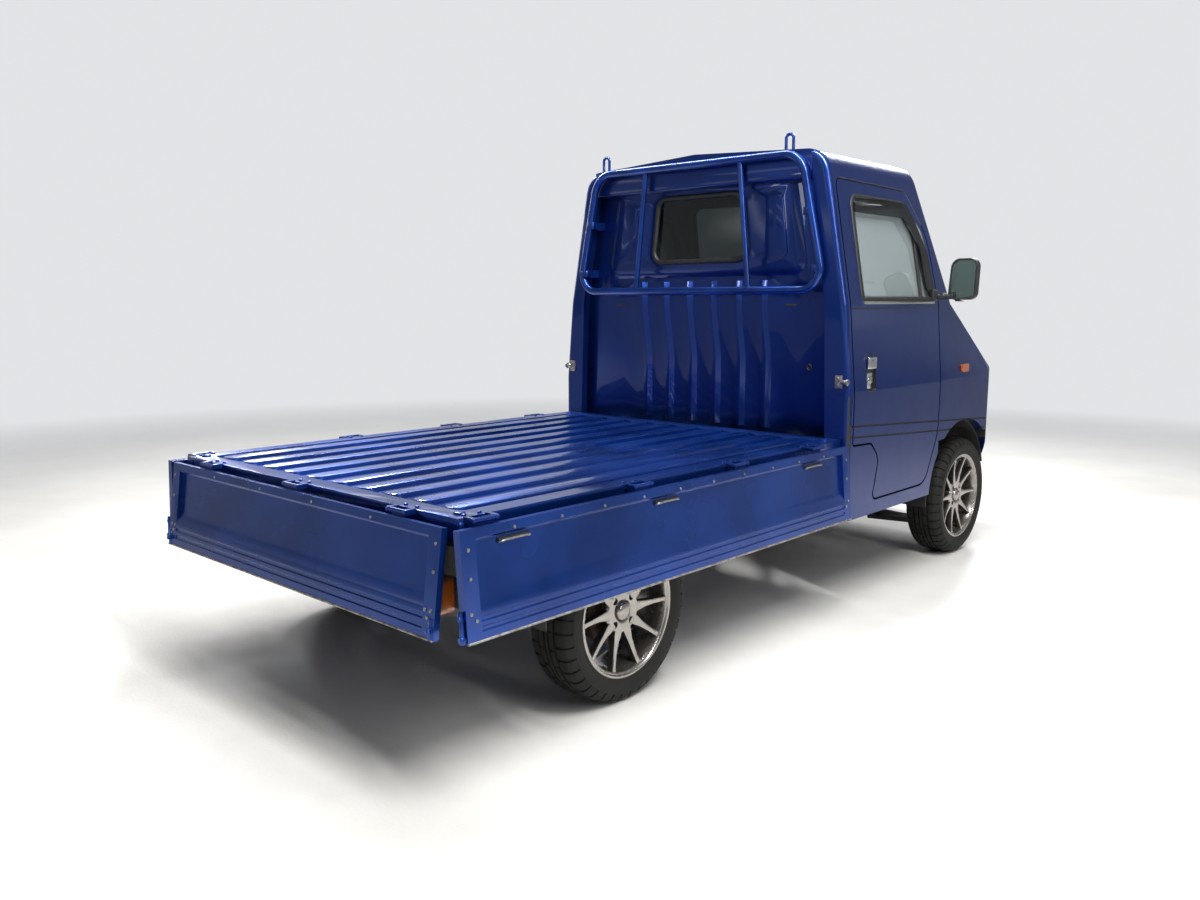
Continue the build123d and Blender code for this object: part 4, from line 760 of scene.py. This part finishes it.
door_pane = glass_of("door_pane", (0.52, 0.62, 0.62), 0.0, 0.42)
door_pane.node_tree.nodes["Principled BSDF"].inputs["Metallic"].default_value = 0.6
front_pane = glass_of("front_pane", (0.16, 0.21, 0.2), 0.0, 0.7)
rear_pane = glass_of("rear_pane", (0.04, 0.055, 0.055))
smoked = glass_of("smoked_visor", (0.1, 0.11, 0.115), 0.05)
seal_rubber, shader = finish_of("seal_rubber", (0.01, 0.01, 0.01), 0.48)
dull_by(shader, (35, 5), 0.3, 0.7, 0.38, 0.6)
bump_of(shader, (500, 3), 0.0002)
trim_chrome, shader = finish_of("trim_chrome", (0.62, 0.63, 0.64), 0.14, 1.0)
dull_by(shader, (60, 5), 0.35, 0.7, 0.1, 0.26)
black_plastic, shader = finish_of("black_plastic", (0.016, 0.016, 0.018), 0.42)
shade_by(shader, (30, 5), 0.3, 0.7, (0.012, 0.012, 0.014), (0.024, 0.024, 0.026))
bump_of(shader, (900, 2), 0.00012)
mirror_glass, shader = finish_of("mirror_glass", (0.3, 0.37, 0.355), 0.03, 1.0)
dull_by(shader, (9, 4), 0.3, 0.7, 0.02, 0.08)


def side_x(z):
    """How far out the cab's side is at a height above the moulding."""
    return 0.737 - 0.0914 * (z - 0.811) if z < 1.15 else 0.706 - 0.1855 * (z - 1.15)


def face_outline(name, facing, reach=(-9, 9)):
    """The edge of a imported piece's face that looks one way, as a chain of places."""
    probe = copy_of(name, "probe")
    uses = {}
    for face in probe.data.polygons:
        if face.normal.dot(Vector(facing)) > 0.8 and reach[0] < face.center.y < reach[1]:
            for key in face.edge_keys:
                uses[key] = uses.get(key, 0) + 1
    links = {}
    for first, last in (key for key, count in uses.items() if count == 1):
        links.setdefault(first, []).append(last)
        links.setdefault(last, []).append(first)
    chain = [min(links)]
    while True:
        onward = [point for point in links[chain[-1]] if point not in chain[-2:] and point != chain[0]]
        if not onward or len(chain) > len(links):
            break
        chain.append(onward[0])
    places = [probe.data.vertices[index].co.copy() for index in chain]
    bpy.data.objects.remove(probe)
    return places


under_top = ((0, 0, 1.486), (0, 0, 1))
visor_cuts = {  # a place on each cut, and the way that is cut off
    "top": [((0, 0, 1.486), (0, 0, -1))],
    "corner": [under_top, ((0, -0.814, 1.437), (0, 0.702, -0.712))],
    "pillar": [under_top, ((0, -0.814, 1.437), (0, -0.702, 0.712)), ((0, -0.889, 1.275), (0, 0.983, -0.183)),
               ((0, 0, 1.2), (0, 0, -1))],
}
for side, word in side_bodies:
    body = f"{word}_door"
    skin_of(f"door_glass_{word}", door_pane, 0.0006)
    outward = Vector((side * 0.983, 0, 0.182))
    outline = face_outline(f"door_glass_{word}", outward)
    bar_along(f"window_seal_{word}", [place + outward * 0.006 for place in outline], 0.016,
              seal_rubber, body, closed=True, smooth=False)
    for label, cuts in visor_cuts.items():
        visor = copy_of(f"door_glass_{word}", f"visor_{label}_{word}")
        for place, way_out in cuts:
            open_up()
            bpy.ops.mesh.bisect(plane_co=place, plane_no=way_out, use_fill=True, clear_outer=True)
        bpy.ops.mesh.select_all(action="SELECT")
        bpy.ops.transform.translate(value=outward * 0.026)
        close_up()
        hang(visor, smoked, body)
    bar_along(f"quarter_bar_{word}", [(side * (side_x(z) - 0.012), -0.868, z) for z in (1.164, 1.28, 1.4, 1.474)],
              0.0085, seal_rubber, body, smooth=False)
    start(f"belt_strip_{word}")
    block((side * 0.7, -0.966, 1.1465), (side * 0.71, -0.348, 1.1575))
    done(trim_chrome, body, 0.0022)
    start(f"belt_groove_{word}")
    block((side * 0.702, -0.985, 1.128), (side * 0.7085, -0.256, 1.134))
    done(seal_rubber, body, 0.001)

for label, coat, facing, reach, radius in (
        ("windscreen_pane", front_pane, (0, -0.907, 0.422), (-2, -0.7), 0.011),
        ("rear_pane", rear_pane, (0, 1, 0), (-0.7, 0), 0.0115)):
    pane = copy_of("cab_glass", label)
    for face in pane.data.polygons:
        face.select = not reach[0] < face.center.y < reach[1]
    bpy.ops.object.mode_set(mode="EDIT")
    bpy.ops.mesh.select_mode(type="FACE")
    bpy.ops.mesh.delete(type="FACE")
    close_up()
    smooth_over(30)
    hang(pane, coat, "truck")
    if label == "windscreen_pane":
        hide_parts("cab_glass")
    edge = [place + Vector(facing) * 0.003 for place in face_outline("cab_glass", facing, reach)]
    bar_along(f"{label}_seal", edge, radius, seal_rubber, "truck", closed=True, smooth=False)

# Door furniture: a dark pocket with a bright pull flap and a key lock in it, and a mirror in a black
# shell on an arm from the window's lower corner.
for side, word in side_bodies:
    body = f"{word}_door"
    door = bpy.data.objects[f"door_{word}_skin"]
    door.data.materials.append(black_plastic)
    for face in door.data.polygons:
        middle = face.center
        if (abs(middle.y + 0.38) < 0.0375 and abs(middle.z - 0.89) < 0.0745
                and 0.7205 < abs(middle.x) < side_x(middle.z) - 0.0008):
            face.material_index = 3
    start(f"door_flap_{word}")
    block((side * 0.7265, -0.4125, 0.9025), (side * 0.7368, -0.3475, 0.947))
    done(trim_chrome, body, 0.0032, segments=3)
    start(f"key_lock_{word}")
    block((side * 0.7225, -0.404, 0.826), (side * 0.7252, -0.356, 0.886))
    rod((side * 0.724, -0.38, 0.858), (side * 0.73, -0.38, 0.858), 0.0125, 24)
    rod((side * 0.729, -0.38, 0.858), (side * 0.7316, -0.38, 0.858), 0.0085, 20)
    done(trim_chrome, body, 0.0012)
    # the keyhole is a dark block of painted shade
    start(f"key_slot_{word}")
    block((side * 0.7312, -0.3812, 0.853), (side * 0.732, -0.3788, 0.863))
    done(black_and_shade, body)
    skin_of(f"mirror_{word}", black_plastic, 0.001)
    glass = copy_of(f"mirror_{word}", f"mirror_glass_{word}")
    rear = max((face for face in glass.data.polygons if face.normal.y > 0.95), key=lambda face: face.area)
    edge_places = [glass.data.vertices[index].co.copy() for index in rear.vertices]
    for face in glass.data.polygons:
        face.select = face.index != rear.index
    bpy.ops.object.mode_set(mode="EDIT")
    bpy.ops.mesh.select_mode(type="FACE")
    bpy.ops.mesh.delete(type="FACE")
    bpy.ops.mesh.select_all(action="SELECT")
    bpy.ops.mesh.inset(thickness=0.009)
    bpy.ops.mesh.select_all(action="INVERT")
    bpy.ops.mesh.delete(type="FACE")
    bpy.ops.mesh.select_all(action="SELECT")
    draw_out(0, 0.0012, 0)
    bpy.ops.mesh.select_all(action="SELECT")
    face_outwards()
    close_up()
    hang(glass, mirror_glass, body)
    centre = sum(edge_places, Vector()) / len(edge_places)
    rim_line = [centre + (place - centre) * 0.945 + Vector((0, 0.0008, 0)) for place in edge_places]
    bar_along(f"mirror_rim_{word}", rim_line, 0.0026, black_plastic, body, closed=True, smooth=False)
    start(f"mirror_foot_{word}")
    block((side * 0.698, -0.992, 1.158), (side * 0.712, -0.946, 1.206))
    rod((side * 0.735, -0.99, 1.165), (side * 0.735, -0.99, 1.192), 0.0165, 20)
    done(black_plastic, body, 0.004, segments=3)

# Lamps: clear lenses with silvered bowls and bulbs behind them at the front, amber side markers, and
# three-part tail lamps on the bar under the bed.
def lens_of(name, tint, ribs):
    """A coloured lens with fine flutes."""
    lens, shader = finish_of(name, tint, 0.08, 0.0, 1.0, 0.03)
    shader.inputs["Transmission Weight"].default_value = 0.55
    flute = noise_of(shader.id_data, 1.0, 2, 0.4, ribs)
    darker = tuple(0.7 * part for part in tint)
    shade_by(shader, flute, 0.35, 0.65, tint, darker)
    bump_of(shader, flute, 0.0012)
    return lens


head_lens = glass_of("head_lens", (0.86, 0.9, 0.9), 0.02)
amber_lens = lens_of("amber_lens", (0.95, 0.24, 0.02), (220, 220, 12))
red_lens = lens_of("red_lens", (0.55, 0.012, 0.01), (220, 12, 220))
white_lens = lens_of("white_lens", (0.8, 0.8, 0.78), (220, 12, 220))
silvered, shader = finish_of("silvered", (0.8, 0.8, 0.8), 0.12, 1.0)
dull_by(shader, (70, 4), 0.3, 0.7, 0.08, 0.2)
heads = skin_of("headlamps", head_lens, 0.0008)
heads.data.materials.append(silvered)
for face in heads.data.polygons:
    face.material_index = 1 if face.normal.y > 0.3 else 0
skin_of("marker_lamps", amber_lens, 0.0014)
lamps = skin_of("tail_lamps", red_lens, 0.003)
amber_from, white_to, bulb_xs = 0.555, 0.45, (0.48, 0.585)
alone(lamps)
for cut_x in (-amber_from, -white_to, white_to, amber_from):
    open_up()
    bpy.ops.mesh.bisect(plane_co=(cut_x, 0, 0), plane_no=(1, 0, 0))
    close_up()
lamps.data.materials.append(amber_lens)
lamps.data.materials.append(white_lens)
for face in lamps.data.polygons:
    place = abs(face.center.x)
    face.material_index = 1 if place > amber_from else 2 if place < white_to else 0
bowl_rings = [(0.046, 0), (0.044, -0.004), (0.036, -0.022), (0.022, -0.034), (0.008, -0.038), (0.008, -0.042),
              (0.026, -0.038), (0.04, -0.024), (0.048, -0.004)]
for side, word in side_bodies:
    start(f"lamp_bowl_{word}")
    for x in bulb_xs:
        turn_ring(bowl_rings, 40)
        bpy.ops.transform.rotate(value=radians(90), orient_axis="Z", center_override=(0, 0, 0))
        bpy.ops.transform.translate(value=(side * x, -1.592 if x < 0.5 else -1.568, 0.756))
    done(silvered, "truck")
    start(f"lamp_back_{word}")
    block((side * 0.412, -1.552, 0.695), (side * 0.65, -1.548, 0.815))
    for x in bulb_xs:
        rod((side * x, -1.575, 0.756), (side * x, -1.556, 0.756), 0.009, 16)
    done(black_plastic, "truck", 0.001)

# Nose and cab back: dark plates of painted shade and moulded bars behind the grille's and the bumper's
# openings, two drain slots drawn as dark blocks of painted shade and a rubber ring pushed into holes of
# the back panel round a dark plug of painted shade, and two wipers, each a pressed arm on a pivot in the
# scuttle with a rubber blade that lies on the glass.
# dark plates of painted shade in the grille's and the bumper's openings
start("grille_back")
block((-0.345, -1.64, 0.715), (0.345, -1.634, 0.805))
block((-0.43, -1.652, 0.296), (0.43, -1.646, 0.428))
done(black_and_shade, "truck", 0.001)
start("grille_bars")
for x in [-0.28 + 0.08 * count for count in range(8)]:
    for z in (0.735, 0.785):
        block((x - 0.003, -1.662, z - 0.0135), (x + 0.003, -1.64, z + 0.0135))
for z in (0.335, 0.385):
    block((-0.415, -1.672, z - 0.005), (0.415, -1.65, z + 0.005))
done(black_plastic, "truck", 0.001)


def touch(name, origin, way):
    """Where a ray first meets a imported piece."""
    mesh = frame["nodes"][name].data
    surface = BVHTree.FromPolygons([point.co for point in mesh.vertices], [face.vertices for face in mesh.polygons])
    return surface.ray_cast(Vector(origin), Vector(way))[0]


# the drain slots are dark blocks of painted shade on the back panel
for side, word in reversed(side_bodies):
    there = touch("cab_back_panel", (side * 0.44, 1, 1.143), (0, -1, 0))
    start(f"back_slot_{word}")
    block(there + Vector((-0.026, -0.002, -0.0045)), there + Vector((0.026, 0.0012, 0.0045)))
    done(black_and_shade, "truck", 0.0015)
there = touch("cab_back_panel", (-0.52, 1, 0.903), (0, -1, 0))
bar_along("back_ring", [there + Vector((0.011 * cos(radians(turn)), 0.002, 0.011 * sin(radians(turn))))
                        for turn in range(0, 360, 30)], 0.003, seal_rubber, "truck", closed=True)
# a dark plug of painted shade fills the rubber ring's hole
start("back_ring_plug")
rod(there + Vector((0, -0.002, 0)), there + Vector((0, 0.0015, 0)), 0.01, 20)
done(black_and_shade, "truck")

for label, pivot, tip in (("near", (-0.38, 1.112), (-0.1, 1.25)), ("far", (0.08, 1.112), (0.36, 1.25))):
    foot = touch("windscreen_frame", (pivot[0], -3, pivot[1]), (0, 1, 0))
    middle = touch("cab_glass", (tip[0], -3, tip[1]), (0, 1, 0))
    lift = Vector((0, -0.907, 0.422))
    bar_along(f"wiper_arm_{label}", [foot + lift * 0.004, foot + lift * 0.022, foot.lerp(middle, 0.3) + lift * 0.026,
                                     middle + lift * 0.022], 0.0045, black_plastic, "truck")
    ends = [touch("cab_glass", (tip[0] + sign * 0.215, -3, tip[1] + sign * 0.012), (0, 1, 0)) for sign in (-1, 1)]
    bar_along(f"wiper_blade_{label}", [ends[0] + lift * 0.01, (ends[0] + ends[1]) / 2 + lift * 0.012,
                                       ends[1] + lift * 0.01], 0.005, seal_rubber, "truck")

# Running gear: black chassis paint greyed by road dust over the frame, the axle and the floors, cast
# grey on engine and knuckles, dull bare steel on the exhaust, and rubber flaps behind the wheels.
chassis_coat, shader = finish_of("chassis_coat", (0.014, 0.014, 0.014), 0.55)
grime = noise_of(shader.id_data, 8, 8, 0.65)
shade_by(shader, grime, 0.38, 0.72, (0.011, 0.011, 0.012), (0.05, 0.045, 0.038))
dull_by(shader, grime, 0.35, 0.7, 0.42, 0.8)
bump_of(shader, (260, 4), 0.0003)
cast_grey, shader = finish_of("cast_grey", (0.13, 0.125, 0.12), 0.6, 0.7)
shade_by(shader, (24, 6, 0.62), 0.35, 0.7, (0.16, 0.155, 0.15), (0.055, 0.045, 0.038))
bump_of(shader, (380, 4), 0.0006)
dull_steel, shader = finish_of("dull_steel", (0.25, 0.24, 0.23), 0.45, 0.9)
shade_by(shader, (20, 7, 0.65), 0.4, 0.68, (0.27, 0.26, 0.25), (0.13, 0.07, 0.04))
bump_of(shader, (300, 4), 0.0003)
for name in ("chassis_frame", "bed_underframe", "cab_floor", "rear_axle", "front_suspension", "fuel_tank"):
    skin_of(name, chassis_coat, 0.0015)
for name in ("knuckle_left", "knuckle_right", "engine_block", "driveline"):
    skin_of(name, cast_grey, 0.0015)
for name in ("exhaust", "tie_rod"):
    skin_of(name, dull_steel, 0.001)
skin_of("mudflaps", seal_rubber, 0.0015)

# Cabin: two seats in grey cloth, each a sprung cushion and a high back with sewn channels, a grained
# dashboard with its hood, vents and shelf, and the two-spoke wheel on its column.
seat_fabric, shader = finish_of("seat_fabric", (0.1, 0.1, 0.11), 0.92)
shade_by(shader, (24, 7, 0.6), 0.3, 0.7, (0.075, 0.077, 0.085), (0.135, 0.135, 0.14))
shader.inputs["Sheen Weight"].default_value = 0.25
bump_of(shader, (1100, 2), 0.0006)
grained, shader = finish_of("grained_plastic", (0.05, 0.05, 0.053), 0.6)
shade_by(shader, (18, 5), 0.3, 0.7, (0.04, 0.04, 0.043), (0.062, 0.062, 0.066))
bump_of(shader, (650, 3), 0.00035)


def stack(levels):
    """A form built up from level rectangles: x, y, z, width along x, depth along y."""
    x, y, z, wide, deep = levels[0]
    bpy.ops.mesh.primitive_plane_add(size=1, location=(x, y, z))
    bpy.ops.transform.resize(value=(wide, deep, 1), center_override=(x, y, z))
    for (x, y, z, wide, deep), (to_x, to_y, to_z, to_wide, to_deep) in zip(levels, levels[1:]):
        draw_out(to_x - x, to_y - y, to_z - z)
        bpy.ops.transform.resize(value=(to_wide / wide, to_deep / deep, 1), center_override=(to_x, to_y, to_z))
    bpy.ops.mesh.select_linked()
    face_outwards()


def swell(piece, cap):
    """Blow a closed form up like a filled cover, each point moving no farther than the cap."""
    alone(piece)
    cover = piece.modifiers.new("cover", "REMESH")
    cover.mode = "VOXEL"
    cover.voxel_size = 0.007
    bpy.ops.object.modifier_apply(modifier=cover.name)
    stuffed = piece.modifiers.new("stuffed", "CLOTH")
    stuffed.settings.use_pressure = True
    stuffed.settings.uniform_pressure_force = 4
    stuffed.settings.effector_weights.gravity = 0
    for step in range(1, 21):
        bpy.context.scene.frame_set(step)
    shaped = piece.evaluated_get(bpy.context.evaluated_depsgraph_get()).data
    moved = [point.co.copy() for point in shaped.vertices]
    piece.modifiers.remove(stuffed)
    bpy.context.scene.frame_set(1)
    for point, goal in zip(piece.data.vertices, moved):
        way = goal - point.co
        if way.length > cap:
            way *= cap / way.length
        point.co += way


def sew(piece, channels, width, depth):
    """Press sewn channels in, each along a plane given by an axis and a place on it."""
    moves = []
    for point in piece.data.vertices:
        pull = max((exp(-((point.co[axis] - place) / width) ** 2) for axis, place in channels), default=0)
        moves.append(point.normal * (-depth * pull))
    for point, move in zip(piece.data.vertices, moves):
        point.co += move


seat_x = 0.34
piping_line = ((-1, -0.8), (-0.93, -0.8395), (0.93, -0.8395), (1, -0.8), (1, -0.43), (0.95, -0.412),
               (-0.95, -0.412), (-1, -0.43))
seat_base_levels = [(0, -0.625, 0.703, 0.462, 0.416), (0, -0.625, 0.745, 0.472, 0.424), (0, -0.64, 0.79, 0.468, 0.392),
                    (0, -0.655, 0.818, 0.448, 0.352)]
seat_back_levels = [(0, -0.432, 0.848, 0.452, 0.078), (0, -0.416, 0.95, 0.462, 0.09), (0, -0.4, 1.1, 0.452, 0.096),
                    (0, -0.4, 1.165, 0.4, 0.082), (0, -0.404, 1.205, 0.28, 0.07), (0, -0.406, 1.3, 0.262, 0.05)]
for label, levels, cap, channels in (
        ("seat_cushion", seat_base_levels, 0.016, [(0, -0.155), (0, 0.155), (1, -0.56), (1, -0.68)]),
        ("seat_back", seat_back_levels, 0.014, [(0, -0.155), (0, 0.155), (2, 0.96), (2, 1.06), (2, 1.19)])):
    form = start(label)
    stack(levels)
    close_up()
    alone(form)
    roll_edges(form, 0.018, 50, 3)
    swell(form, cap)
    sew(form, channels, 0.0065, 0.0075)
    for side, word in side_bodies:
        pad = placed(f"{label}_{word}", form.data.copy())
        open_up()
        bpy.ops.transform.translate(value=(side * seat_x, 0, 0))
        close_up()
        for point in pad.data.vertices:
            point.co.z = max(point.co.z, 0.7006)
            point.co.y = min(max(point.co.y, -0.85), -0.332)
        smooth_over(60)
        hang(pad, seat_fabric, "truck")
        if (label, word) == ("seat_cushion", "left"):
            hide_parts("seats")
        if label == "seat_cushion":
            hem = [Vector((side * seat_x + across * 0.2385, y, 0.748)) for across, y in piping_line]
            bar_along(f"seat_piping_{word}", hem, 0.0032, black_plastic, "truck", closed=True)
    bpy.data.objects.remove(form)

skin_of("dashboard", grained, 0.004)
skin_of("steering_wheel", black_plastic, 0.0012)
start("gauge_hood")
stack([(-0.335, -1.09, 1.04, 0.29, 0.12), (-0.335, -1.094, 1.072, 0.276, 0.112),
       (-0.335, -1.106, 1.09, 0.24, 0.084)])
done(grained, "truck", 0.01, segments=3)
start("gauge_faces")
for x in (-0.39, -0.28):
    rod((x, -1.034, 1.055), (x, -1.0275, 1.055), 0.02, 32)
done(black_and_shade, "truck", 0.0008)
start("dash_vents")
for x in (-0.585, -0.1, 0.1, 0.585):
    for z in (0.962, 0.974, 0.986, 0.998):
        block((x - 0.042, -0.9895, z - 0.002), (x + 0.042, -0.9775, z + 0.002))
    for end in (-0.044, 0.044):
        block((x + end - 0.003, -0.9895, 0.955), (x + end + 0.003, -0.9765, 1.005))
done(black_plastic, "truck", 0.0008)
